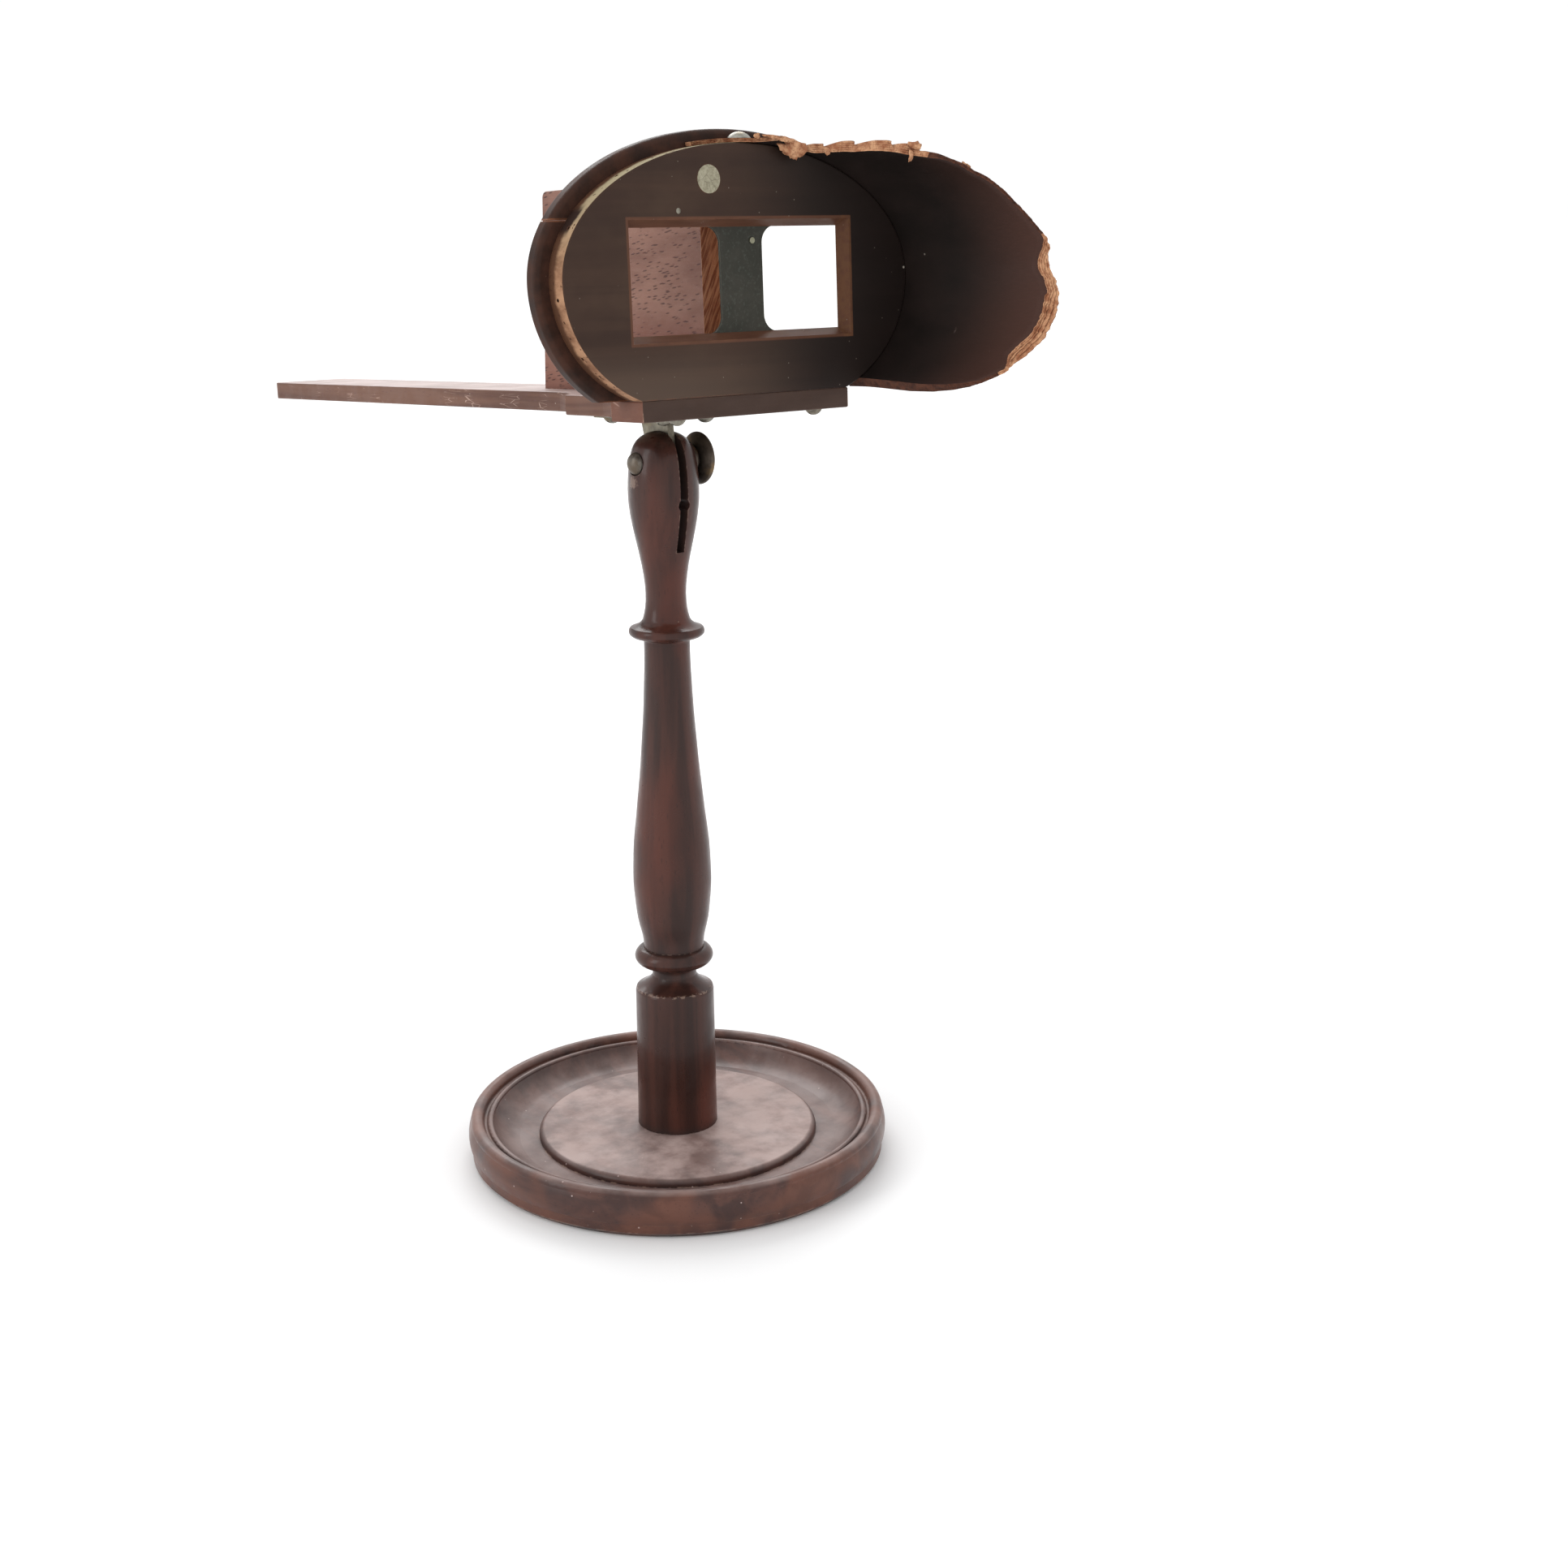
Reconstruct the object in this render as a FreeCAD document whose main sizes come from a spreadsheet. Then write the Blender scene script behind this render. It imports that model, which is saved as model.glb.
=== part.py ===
import FreeCAD, Part
import Sketcher
import math
import os

# Pedestal stereo viewer: a turned stand carries a tilting viewing head.
# Stand frame: origin at the centre of the base underside, +Z up, +Y the way the user looks, +X the user's right.
# Head frame: origin at the middle of the crossbar's lower front edge, same directions, tilted about the clamp bolt.

SIZES = {
    # stand
    "base_radius": 71.0, "rim_height": 15.2, "field_height": 6.6, "plateau_height": 9.4, "plateau_radius": 46.0,
    "plug_depth": 2.2, "plug_radius": 6.5, "foot_sink_radius": 4.3, "foot_hole_radius": 2.1, "foot_pilot_radius": 1.5,
    "foot_pilot_top": 22.0, "tenon_radius": 7.0, "tenon_bottom": 5.0, "shaft_foot_radius": 13.5,
    "shoulder_height": 57.4,
    "bolt_height": 234.1, "bulb_top": 243.7, "slot_width": 2.9, "slot_floor": 206.0, "relief_height": 221.2,
    "relief_radius": 2.1, "spot_depth": 10.2, "washer_spot_depth": 8.8,
    # clamp
    "bolt_radius": 2.25, "bolt_hole_radius": 2.32, "bolt_head_radius": 3.5, "bolt_head_height": 2.6, "bolt_end": 14.5,
    "washer_radius": 5.2, "washer_thick": 0.9, "bearing_gap": 0.3, "knob_radius": 8.4, "knob_hub_radius": 4.2,
    # head placing
    "pivot_back": 45.8, "pivot_drop": 15.6, "head_tilt": -2.3,
    # shaft board
    "board_thick": 6.2, "crossbar_half": 38.4, "crossbar_depth": 16.2, "waist_half": 25.5, "waist_start": 40.0,
    "waist_end": 60.8, "shaft_half": 15.3, "shaft_start": 80.0, "shaft_length": 288.5,
    # lens board and what it carries
    "lens_board_thick": 7.0, "oval_half": 63.2, "oval_middle": 39.5, "oval_rise": 38.3, "haunch_inset": 20.0,
    "haunch_drop": 36.8, "sight_middle": 39.3, "sight_front_half": 40.4, "sight_front_rise": 17.1,
    "sight_back_half": 38.3, "sight_back_rise": 15.1, "bevel_depth": 3.8, "seat_half": 46.3, "seat_rise": 20.4,
    "mask_thick": 0.8, "mask_shift": 2.0, "mask_strip_half": 7.8, "mask_window_half": 43.8, "mask_window_rise": 15.3,
    "mask_corner": 5.0, "mask_pin_x": 6.0, "mask_pin_z": 50.4, "mask_pin_radius": 0.35, "mask_pin_head_radius": 0.9,
    "mask_pin_head": 0.45, "lens_inner": 5.8, "lens_outer": 43.8, "lens_rise": 18.0, "lens_thin": 2.2,
    "lens_thick": 4.5, "divider_half": 5.0, "divider_depth": 4.2, "divider_short": 1.7, "divider_shift": 0.5,
    "rail_half": 41.4, "rail_back": 11.0, "rail_height": 3.4, "rail_lip": 1.4,
    "ring_thick": 5.6, "ring_outside": 4.4, "ring_inside": 6.0, "ring_joint": 56.8, "ring_gap": 0.3,
    # septum
    "septum_half": 4.0, "septum_front": 15.7, "septum_back": 106.5, "septum_top": 69.4, "septum_lean": 5.0,
    # tilt bracket
    "flange_half": 13.0, "flange_front": 27.0, "flange_back": 67.0, "flange_thick": 1.6, "tongue_thick": 2.3,
    "tongue_front": 41.1, "tongue_back": 55.4, "tongue_eye_radius": 6.2,
    # screws in the head: pilot and clearance holes, and the septum screws' sunk heads
    "pilot_radius": 1.1, "clearance_radius": 1.3, "septum_clearance_radius": 1.4, "sink_radius": 3.1, "sink_depth": 1.9,
    "bracket_screw_depth": 5.0, "septum_screw_depth": 14.0, "board_screw_depth": 9.0,
    # hood
    "hood_wall": 3.2, "hood_flare": 0.17, "hood_lift": 2.0, "hood_inner_ply": 1.3, "hood_fit": 0.15,
}

doc = FreeCAD.newDocument("stereo_viewer")
sheet = doc.addObject("Spreadsheet::Sheet", "Params")
for row, (alias, value) in enumerate(SIZES.items(), 1):
    sheet.set(f"A{row}", alias)
    sheet.set(f"B{row}", str(value))
    sheet.setAlias(f"B{row}", alias)
doc.recompute()

V = FreeCAD.Vector
X_AXIS, Y_AXIS, Z_AXIS = V(1, 0, 0), V(0, 1, 0), V(0, 0, 1)


def size(alias):
    return float(sheet.get(alias))


HEAD = (FreeCAD.Placement(V(0, 0, size("bolt_height")), FreeCAD.Rotation(X_AXIS, size("head_tilt")))
        * FreeCAD.Placement(V(0, -size("pivot_back"), size("pivot_drop")), FreeCAD.Rotation()))
STAND = FreeCAD.Placement()
nodes = []


def node(obj, label, placement=STAND):
    """Name a finished piece, place it and put it on the list of parts to write."""
    obj.Label = label
    obj.Placement = placement
    nodes.append(obj)
    return obj


def value_of(expression):
    result = sheet.evalExpression(expression)
    return float(getattr(result, "Value", result))


def new_body(name):
    return doc.addObject("PartDesign::Body", name)


def new_sketch(body, plane, offset=None):
    """Empty sketch on one of the body's origin planes, moved along the plane's normal by an expression."""
    sketch = body.newObject("Sketcher::SketchObject", body.Name + "_sketch")
    support = next(f for f in body.Origin.OriginFeatures if f.Role == plane)
    sketch.AttachmentSupport = [(support, "")]
    sketch.MapMode = "FlatFace"
    if offset:
        sketch.setExpression("AttachmentOffset.Base.z", offset)
    return sketch


def fix_coordinate(sketch, geo, pos, kind, expression):
    value = value_of(expression)
    if abs(value) < 1e-9:
        axis = -2 if kind == "DistanceX" else -1
        sketch.addConstraint(Sketcher.Constraint("PointOnObject", geo, pos, axis))
        return
    index = sketch.addConstraint(Sketcher.Constraint(kind, -1, 1, geo, pos, value))
    sketch.setExpression(f"Constraints[{index}]", expression)


def upright_arc(start, middle, end):
    """Arc through three points, always running counter-clockwise."""
    drawn = Part.Arc(start, middle, end).toShape().Curve
    centre = V(drawn.Center)
    turning = (middle - start).cross(end - middle).z
    first, last = (start, end) if turning > 0 else (end, start)
    angles = [math.atan2(p.y - centre.y, p.x - centre.x) for p in (first, last)]
    if angles[1] < angles[0]:
        angles[1] += 2 * math.pi
    return Part.ArcOfCircle(Part.Circle(centre, Z_AXIS, drawn.Radius), *angles)


def outline(sketch, corners, curves=None):
    """Closed outline. corners: (x, y) expressions. curves: corner index -> points the edge after it passes."""
    curves = curves or {}
    points = [V(value_of(x), value_of(y), 0) for x, y in corners]
    first = sketch.GeometryCount
    for i, start in enumerate(points):
        end = points[(i + 1) % len(points)]
        through = [V(x, y, 0) for x, y in curves.get(i, [])]
        if not through:
            sketch.addGeometry(Part.LineSegment(start, end), False)
        elif len(through) == 1:
            sketch.addGeometry(upright_arc(start, through[0], end), False)
        else:
            spline = Part.BSplineCurve()
            spline.interpolate([start, *through, end])
            sketch.addGeometry(spline, False)
    if any(len(c) > 1 for c in curves.values()):
        return
    flipped = [g.StartPoint.distanceToPoint(p) > 1e-6 for g, p in zip(sketch.Geometry[first:], points)]
    links = []
    for i, edge in enumerate(sketch.Geometry[first:]):
        j = (i + 1) % len(points)
        if curves.get(i) and edge.length() < 3.1 * edge.Radius:
            links.append(Sketcher.Constraint("Radius", first + i, edge.Radius))
        links.append(Sketcher.Constraint("Coincident", first + i, 1 if flipped[i] else 2,
                                         first + j, 2 if flipped[j] else 1))
    sketch.addConstraint(links)
    for i, (x, y) in enumerate(corners):
        pos = 2 if flipped[i] else 1
        fix_coordinate(sketch, first + i, pos, "DistanceX", x)
        fix_coordinate(sketch, first + i, pos, "DistanceY", y)


def rectangle(sketch, left, right, low, high):
    outline(sketch, [(left, low), (right, low), (right, high), (left, high)])


def circle(sketch, x, y, radius):
    geo = sketch.addGeometry(Part.Circle(V(value_of(x), value_of(y), 0), Z_AXIS, value_of(radius)), False)
    fix_coordinate(sketch, geo, 3, "DistanceX", x)
    fix_coordinate(sketch, geo, 3, "DistanceY", y)
    index = sketch.addConstraint(Sketcher.Constraint("Radius", geo, value_of(radius)))
    sketch.setExpression(f"Constraints[{index}]", radius)


def pad(body, sketch, length, reverse=False, both=False):
    feature = body.newObject("PartDesign::Pad", body.Name + "_pad")
    feature.Profile = sketch
    feature.setExpression("Length", length)
    feature.Reversed = reverse
    feature.SideType = "Symmetric" if both else "One side"
    doc.recompute()
    return feature


def pocket(body, sketch, length=None, reverse=False, both=False):
    """Cut the sketch away; the body must gain faces and no volume, otherwise the cut went the wrong way."""
    before, faces = body.Shape.Volume, len(body.Shape.Faces)
    feature = body.newObject("PartDesign::Pocket", body.Name + "_pocket")
    feature.Profile = sketch
    if length:
        feature.setExpression("Length", length)
    else:
        feature.Length = 600
    feature.Reversed = reverse
    feature.SideType = "Symmetric" if both else "One side"
    doc.recompute()
    if feature.Shape.Volume > before + 20 or len(feature.Shape.Faces) == faces:
        raise RuntimeError(f"{feature.Name} removes nothing")
    return feature


def revolve(body, sketch, axis="V_Axis"):
    feature = body.newObject("PartDesign::Revolution", body.Name + "_turning")
    feature.Profile = sketch
    feature.ReferenceAxis = (sketch, [axis])
    feature.Angle = 360
    doc.recompute()
    return feature


def round_edges(body, radius, chosen):
    """Round the edges of the body's present shape that the test function picks."""
    tip = body.Tip
    names = [f"Edge{i}" for i, edge in enumerate(tip.Shape.Edges, 1) if chosen(edge)]
    feature = body.newObject("PartDesign::Fillet", body.Name + "_round")
    feature.Base = (tip, names)
    feature.Radius = radius
    doc.recompute()
    return feature


def solid_node(shape, label, placement=HEAD):
    feature = doc.addObject("Part::Feature", label)
    feature.Shape = shape
    return node(feature, label, placement)


def rod(radius, length, start, direction):
    return Part.makeCylinder(radius, length, start, direction)


def wood_screw(seat, direction, head_radius, head_height, core_radius, length):
    """Round-head slotted screw: the head stands out of the seat against the driving direction."""
    ball = (head_radius ** 2 + head_height ** 2) / (2 * head_height)
    dome = Part.makeSphere(ball, seat + direction * (ball - head_height))
    head = dome.common(rod(head_radius + 0.01, head_height + 1, seat - direction * (head_height + 1), direction))
    shank = rod(core_radius, length, seat, direction)
    across = X_AXIS if abs(direction.x) < 0.9 else Z_AXIS
    side = direction.cross(across)
    slot_width, slot_depth = 0.25 * head_radius, 0.45 * head_height
    slot = Part.makeBox(slot_width, 2.4 * head_radius, slot_depth + 1)
    slot.translate(V(-slot_width / 2, -1.2 * head_radius, -1))
    frame = FreeCAD.Matrix(side.x, across.x, direction.x, 0, side.y, across.y, direction.y, 0,
                           side.z, across.z, direction.z, 0, 0, 0, 0, 1)
    slot = slot.transformGeometry(frame)
    slot.translate(seat - direction * head_height)
    return head.fuse(shank).removeSplitter().cut(slot)


def nail(seat, direction, head_radius, head_height, core_radius, length):
    """Small nail with a slightly domed head standing on its seat."""
    ball = (head_radius ** 2 + head_height ** 2) / (2 * head_height)
    dome = Part.makeSphere(ball, seat + direction * (ball - head_height))
    head = dome.common(rod(head_radius + 0.01, head_height + 1, seat - direction * (head_height + 1), direction))
    return head.fuse(rod(core_radius, length, seat, direction)).removeSplitter()


# ---------------------------------------------------------------- stand
def build_base():
    body = new_body("base_disc")
    sketch = new_sketch(body, "XZ_Plane")
    corners = [
        ("Params.foot_sink_radius", "Params.plug_depth"), ("Params.plug_radius", "Params.plug_depth"),
        ("Params.plug_radius", "0"),
        ("Params.base_radius - 2.6", "0"), ("Params.base_radius - 1", "1.6"), ("Params.base_radius - 1", "4.4"),
        ("Params.base_radius - 0.8", "Params.rim_height - 2.2"),
        ("Params.base_radius - 5.1", "Params.rim_height - 2"),
        ("Params.base_radius - 6.4", "Params.rim_height - 2.4"),
        ("Params.base_radius - 8.4", "Params.rim_height - 2.7"),
        ("54", "Params.field_height"), ("Params.plateau_radius + 1.4", "Params.field_height - 0.2"),
        ("Params.plateau_radius - 0.4", "Params.plateau_height - 0.5"),
        ("Params.shaft_foot_radius + 6", "Params.plateau_height"),
        ("Params.tenon_radius + 0.02", "Params.plateau_height"), ("Params.tenon_radius + 0.02", "Params.tenon_bottom"),
        ("Params.foot_hole_radius", "Params.tenon_bottom"),
        ("Params.foot_hole_radius", "Params.plug_depth + 2.2"),
    ]
    curves = {5: [(71.1, 9.2)], 6: [(68.1, 15.35)], 7: [(65.2, 12.4)], 8: [(63.5, 13.5)], 9: [(58.8, 8.5)],
              11: [(46.9, 8.1)]}
    outline(sketch, corners, curves)
    revolve(body, sketch)
    node(body, "base_disc")
    plug = doc.addObject("Part::Cylinder", "foot_plug")
    plug.setExpression("Radius", "Params.plug_radius - 0.02")
    plug.setExpression("Height", "Params.plug_depth - 0.05")
    doc.recompute()
    node(plug, "foot_plug")


def build_column():
    body = new_body("column")
    sketch = new_sketch(body, "XZ_Plane")
    corners = [
        ("Params.foot_pilot_radius", "Params.tenon_bottom + 0.05"),
        ("Params.tenon_radius", "Params.tenon_bottom + 0.05"),
        ("Params.tenon_radius", "Params.plateau_height"), ("Params.shaft_foot_radius", "Params.plateau_height"),
        ("13.1", "Params.shoulder_height"), ("12.75", "58.5"), ("7.4", "62.6"), ("9.4", "66.4"), ("10.1", "72.4"),
        ("7.45", "176.2"), ("11.5", "178.5"), ("11.6", "181.2"), ("7.6", "184.0"), ("0", "Params.bulb_top"),
        ("0", "Params.foot_pilot_top"), ("Params.foot_pilot_radius", "Params.foot_pilot_top"),
    ]
    body_curve = [(10.1, 74.4), (10.5, 77.2), (11.6, 81.8), (12.25, 86.4), (12.95, 95.5), (12.9, 100.5),
                  (12.5, 109), (11.5, 118), (10.55, 126.9), (9.65, 135.7), (8.95, 144.5), (8.3, 153.2),
                  (7.85, 161.9), (7.5, 170.4)]
    bulb_curve = [(6.85, 187.2), (6.55, 191.4), (6.85, 196.4), (7.7, 202), (9.0, 208.2), (10.3, 214.5),
                  (11.2, 220.6), (11.35, 226.8), (10.9, 232.4), (10.2, 236.4), (8.8, 240.0), (5.9, 242.5), (2.9, 243.5)]
    curves = {5: [(11.6, 59.0), (9.8, 60.1), (8.1, 61.5)], 6: [(7.4, 64.4), (7.9, 65.7)],
              7: [(12.0, 67.2), (13.1, 69.3), (12.2, 71.5)], 8: body_curve,
              9: [(7.75, 177.1), (9.3, 177.7)], 10: [(12.15, 179.2), (12.25, 180.0)],
              11: [(9.9, 181.8), (8.6, 182.6)], 12: bulb_curve}
    outline(sketch, corners, curves)
    revolve(body, sketch)
    slot = new_sketch(body, "XZ_Plane")
    rectangle(slot, "-Params.slot_width / 2", "Params.slot_width / 2", "Params.slot_floor", "Params.bulb_top + 4")
    pocket(body, slot, both=True)
    relief = new_sketch(body, "XZ_Plane")
    circle(relief, "0", "Params.relief_height", "Params.relief_radius")
    pocket(body, relief, both=True)
    bore = new_sketch(body, "YZ_Plane")
    circle(bore, "0", "Params.bolt_height", "Params.bolt_hole_radius")
    pocket(body, bore, both=True)
    head_seat = new_sketch(body, "YZ_Plane", "-Params.spot_depth")
    circle(head_seat, "0", "Params.bolt_height", "Params.bolt_head_radius + 0.3")
    pocket(body, head_seat, "4")
    washer_seat = new_sketch(body, "YZ_Plane", "Params.washer_spot_depth")
    circle(washer_seat, "0", "Params.bolt_height", "Params.washer_radius + 0.4")
    pocket(body, washer_seat, "4", reverse=True)
    node(body, "column")


def build_clamp():
    bolt = new_body("clamp_bolt")
    sketch = new_sketch(bolt, "XZ_Plane")
    head_out = "-Params.spot_depth - Params.bolt_head_height"
    outline(sketch, [(head_out, "0"), (head_out, "0.7"), ("-Params.spot_depth - 0.5", "Params.bolt_head_radius"),
                     ("-Params.spot_depth", "Params.bolt_head_radius"), ("-Params.spot_depth", "Params.bolt_radius"),
                     ("Params.bolt_end - 0.6", "Params.bolt_radius"), ("Params.bolt_end", "Params.bolt_radius - 0.6"),
                     ("Params.bolt_end", "0")], {1: [(-12.12, 2.37)]})
    revolve(bolt, sketch, "H_Axis")
    node(bolt, "clamp_bolt", FreeCAD.Placement(V(0, 0, size("bolt_height")), FreeCAD.Rotation()))

    disc = doc.addObject("Part::Cylinder", "washer_disc")
    disc.setExpression("Radius", "Params.washer_radius")
    disc.setExpression("Height", "Params.washer_thick")
    hole = doc.addObject("Part::Cylinder", "washer_hole")
    hole.setExpression("Radius", "Params.bolt_radius + 0.08")
    hole.setExpression("Height", "Params.washer_thick")
    washer = doc.addObject("Part::Cut", "clamp_washer")
    washer.Base, washer.Tool = disc, hole
    doc.recompute()
    washer_at = size("washer_spot_depth") + size("bearing_gap")
    node(washer, "clamp_washer", FreeCAD.Placement(V(washer_at, 0, size("bolt_height")),
                                                   FreeCAD.Rotation(Y_AXIS, 90)))

    knob = new_body("clamp_knob")
    sketch = new_sketch(knob, "XZ_Plane")
    inner = "(Params.washer_spot_depth + Params.bearing_gap + Params.washer_thick + 0.05)"
    outline(sketch, [(inner, "Params.bolt_radius + 0.05"), (inner, "Params.knob_hub_radius"),
                     (inner + " + 1.1", "Params.knob_hub_radius"), (inner + " + 2.9", "Params.knob_radius - 0.5"),
                     (inner + " + 4.6", "Params.knob_radius - 0.5"), (inner + " + 3.9", "Params.bolt_radius + 2"),
                     (inner + " + 4.3", "Params.bolt_radius + 0.05")],
            {2: [(12.0, 6.4)], 3: [(13.8, 8.4)], 4: [(14.1, 5.9)]})
    revolve(knob, sketch, "H_Axis")
    node(knob, "clamp_knob", FreeCAD.Placement(V(0, 0, size("bolt_height")), FreeCAD.Rotation()))


def build_column_screw():
    """Countersunk screw from below into the column's tenon, under the foot plug."""
    seat, into = V(0, 0, size("plug_depth") + 0.05), size("tenon_bottom")
    head = Part.makeCone(4.1, 2.05, 2.1, seat, Z_AXIS)
    shank = rod(2.0, into - seat.z - 2.1, seat + V(0, 0, 2.1), Z_AXIS)
    stem = rod(1.5, 14.5, V(0, 0, into), Z_AXIS)
    slot = Part.makeBox(0.9, 9, 1.0, seat - V(0.45, 4.5, 0.1))
    solid_node(head.fuse([shank, stem]).removeSplitter().cut(slot), "column_screw", STAND)


# ---------------------------------------------------------------- shaft board and bracket
BRACKET_SCREWS = [(x, y) for y in (33.0, 61.0) for x in (-8.0, 8.0)]
BOARD_SCREWS = [(-24.0, 3.5), (27.5, 3.5)]
SEPTUM_SCREWS = [(0.0, 78.0), (0.0, 96.0)]


def build_shaft_board():
    body = new_body("shaft_board")
    sketch = new_sketch(body, "XY_Plane")
    half = [("Params.crossbar_half", "0"), ("Params.crossbar_half", "Params.crossbar_depth"),
            ("Params.waist_half", "Params.waist_start"), ("Params.waist_half", "Params.waist_end"),
            ("Params.shaft_half", "Params.shaft_start"), ("Params.shaft_half", "Params.shaft_length - 1.5"),
            ("Params.shaft_half - 1.5", "Params.shaft_length")]
    mirrored = [("-(" + x + ")", y) for x, y in reversed(half)]
    cove_one, cove_two = (30.15, 24.8), (18.6, 68.9)
    last = len(half) + len(mirrored)
    curves = {1: [cove_one], 3: [cove_two], last - 5: [(-cove_two[0], cove_two[1])],
              last - 3: [(-cove_one[0], cove_one[1])]}
    outline(sketch, half + mirrored, curves)
    pad(body, sketch, "Params.board_thick")
    for x, y in BRACKET_SCREWS:
        hole = new_sketch(body, "XY_Plane")
        circle(hole, str(x), str(y), "Params.pilot_radius")
        pocket(body, hole, "Params.bracket_screw_depth", reverse=True)
    for x, y in BOARD_SCREWS:
        hole = new_sketch(body, "XY_Plane")
        circle(hole, str(x), str(y), "Params.clearance_radius")
        pocket(body, hole, reverse=True)
    for x, y in SEPTUM_SCREWS:
        hole = new_sketch(body, "XY_Plane")
        circle(hole, str(x), str(y), "Params.septum_clearance_radius")
        pocket(body, hole, reverse=True)
        sink = new_sketch(body, "XY_Plane")
        circle(sink, str(x), str(y), "Params.sink_radius")
        pocket(body, sink, "Params.sink_depth", reverse=True)
    top = size("board_thick")

    def outer_edge(edge):
        box = edge.BoundBox
        level = box.ZLength < 1e-6 and (abs(box.ZMin) < 1e-6 or abs(box.ZMin - top) < 1e-6)
        round_hole = abs(box.XLength - box.YLength) < 1e-3 and box.XLength < 7
        return level and not round_hole
    round_edges(body, 0.5, outer_edge)
    node(body, "shaft_board", HEAD)


def build_bracket():
    body = new_body("tilt_bracket")
    sketch = new_sketch(body, "XY_Plane", "-Params.flange_thick")
    rectangle(sketch, "-Params.flange_half", "Params.flange_half", "Params.flange_front", "Params.flange_back")
    pad(body, sketch, "Params.flange_thick")
    tongue = new_sketch(body, "YZ_Plane")
    radius = size("tongue_eye_radius")
    middle, low = size("pivot_back"), -size("pivot_drop")
    outline(tongue, [("Params.tongue_front", "-Params.flange_thick"),
                     ("Params.pivot_back - Params.tongue_eye_radius", "-Params.pivot_drop"),
                     ("Params.pivot_back + Params.tongue_eye_radius", "-Params.pivot_drop"),
                     ("Params.tongue_back", "-Params.flange_thick")], {1: [(middle, low - radius)]})
    pad(body, tongue, "Params.tongue_thick", both=True)
    eye = new_sketch(body, "YZ_Plane")
    circle(eye, "Params.pivot_back", "-Params.pivot_drop", "Params.bolt_radius + 0.09")
    pocket(body, eye, both=True)
    for x, y in BRACKET_SCREWS:
        hole = new_sketch(body, "XY_Plane", "-Params.flange_thick")
        circle(hole, str(x), str(y), "Params.clearance_radius")
        pocket(body, hole, "Params.flange_thick", reverse=True)

    def flange_corner(edge):
        box = edge.BoundBox
        return box.XLength < 1e-6 and box.YLength < 1e-6 and box.ZLength > 1.2 and abs(box.XMin) > 12
    round_edges(body, 4.0, flange_corner)
    node(body, "tilt_bracket", HEAD)
    screws = [wood_screw(V(x, y, -size("flange_thick")), Z_AXIS, 3.0, 2.1, 1.1, 6.4) for x, y in BRACKET_SCREWS]
    solid_node(Part.makeCompound(screws), "bracket_screws")


def build_septum():
    body = new_body("septum")
    sketch = new_sketch(body, "YZ_Plane")
    outline(sketch, [("Params.septum_front", "Params.board_thick"), ("Params.septum_back", "Params.board_thick"),
                     ("Params.septum_back - Params.septum_lean", "Params.septum_top"),
                     ("Params.septum_front", "Params.septum_top")])
    pad(body, sketch, "2 * Params.septum_half", both=True)
    for x, y in SEPTUM_SCREWS:
        hole = new_sketch(body, "XY_Plane", "Params.board_thick")
        circle(hole, str(x), str(y), "Params.pilot_radius")
        pocket(body, hole, "Params.septum_screw_depth", reverse=True)

    def far_top(edge):
        box = edge.BoundBox
        return box.XLength > 7 and box.ZMin > 60 and box.YMin > 90
    round_edges(body, 2.2, far_top)

    def long_top(edge):
        return edge.BoundBox.YLength > 60 and edge.BoundBox.ZMin > 60
    round_edges(body, 0.5, long_top)
    node(body, "septum", HEAD)
    screws = []
    for x, y in SEPTUM_SCREWS:
        seat = V(x, y, 0.1)
        head = Part.makeCone(3.0, 1.35, 1.8, seat, Z_AXIS)
        shank = rod(1.35, size("board_thick") - 1.9, V(x, y, 1.9), Z_AXIS)
        core = rod(1.1, 13.5, V(x, y, size("board_thick")), Z_AXIS)
        slot = Part.makeBox(6.4, 0.7, 0.8, seat - V(3.2, 0.35, 0.1))
        screws.append(head.fuse([shank, core]).removeSplitter().cut(slot))
    solid_node(Part.makeCompound(screws), "septum_screws")


# ---------------------------------------------------------------- lens board
HAUNCH_END = math.asin((size("oval_middle") - size("board_thick")) / size("haunch_drop"))


def rim_point(turn):
    """Point and outward normal on the lens board's edge; turn 0 is the left foot, 0.5 the top, 1 the right foot."""
    side = -1 if turn < 0.5 else 1
    part = abs(2 * turn - 1)
    upper = 0.62
    a, b = size("oval_half"), size("oval_rise")
    inset, drop = size("haunch_inset"), size("haunch_drop")
    if part < upper:
        angle = math.pi / 2 * (1 - part / upper)
        x, z = a * math.cos(angle), b * math.sin(angle)
        nx, nz = x / a ** 2, z / b ** 2
    else:
        angle = -HAUNCH_END * (part - upper) / (1 - upper)
        x, z = inset + (a - inset) * math.cos(angle), drop * math.sin(angle)
        nx, nz = math.cos(angle) / (a - inset), math.sin(angle) / drop
    length = math.hypot(nx, nz)
    return side * x, size("oval_middle") + z, side * nx / length, nz / length


def rim_curve(offset, depth, turns):
    points = []
    for turn in turns:
        x, z, nx, nz = rim_point(turn)
        points.append(V(x + offset * nx, depth, z + offset * nz))
    curve = Part.BSplineCurve()
    curve.interpolate(points)
    return curve.toShape(), points


def spread(start, end, count):
    return [start + (end - start) * i / (count - 1) for i in range(count)]


HOOD_NAIL_TURNS = (0.53, 0.64, 0.74, 0.84, 0.93)
OLD_NAIL_TURNS = (0.09, 0.17, 0.27, 0.36)
NAIL_LINE = 3.3


def hood_nail(turn, wall):
    x, z, nx, nz = rim_point(turn)
    outward = V(nx, 0, nz)
    return nail(V(x, NAIL_LINE, z) + outward * wall, outward * -1, 1.3, 0.5, 0.5, wall + 6)


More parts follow.
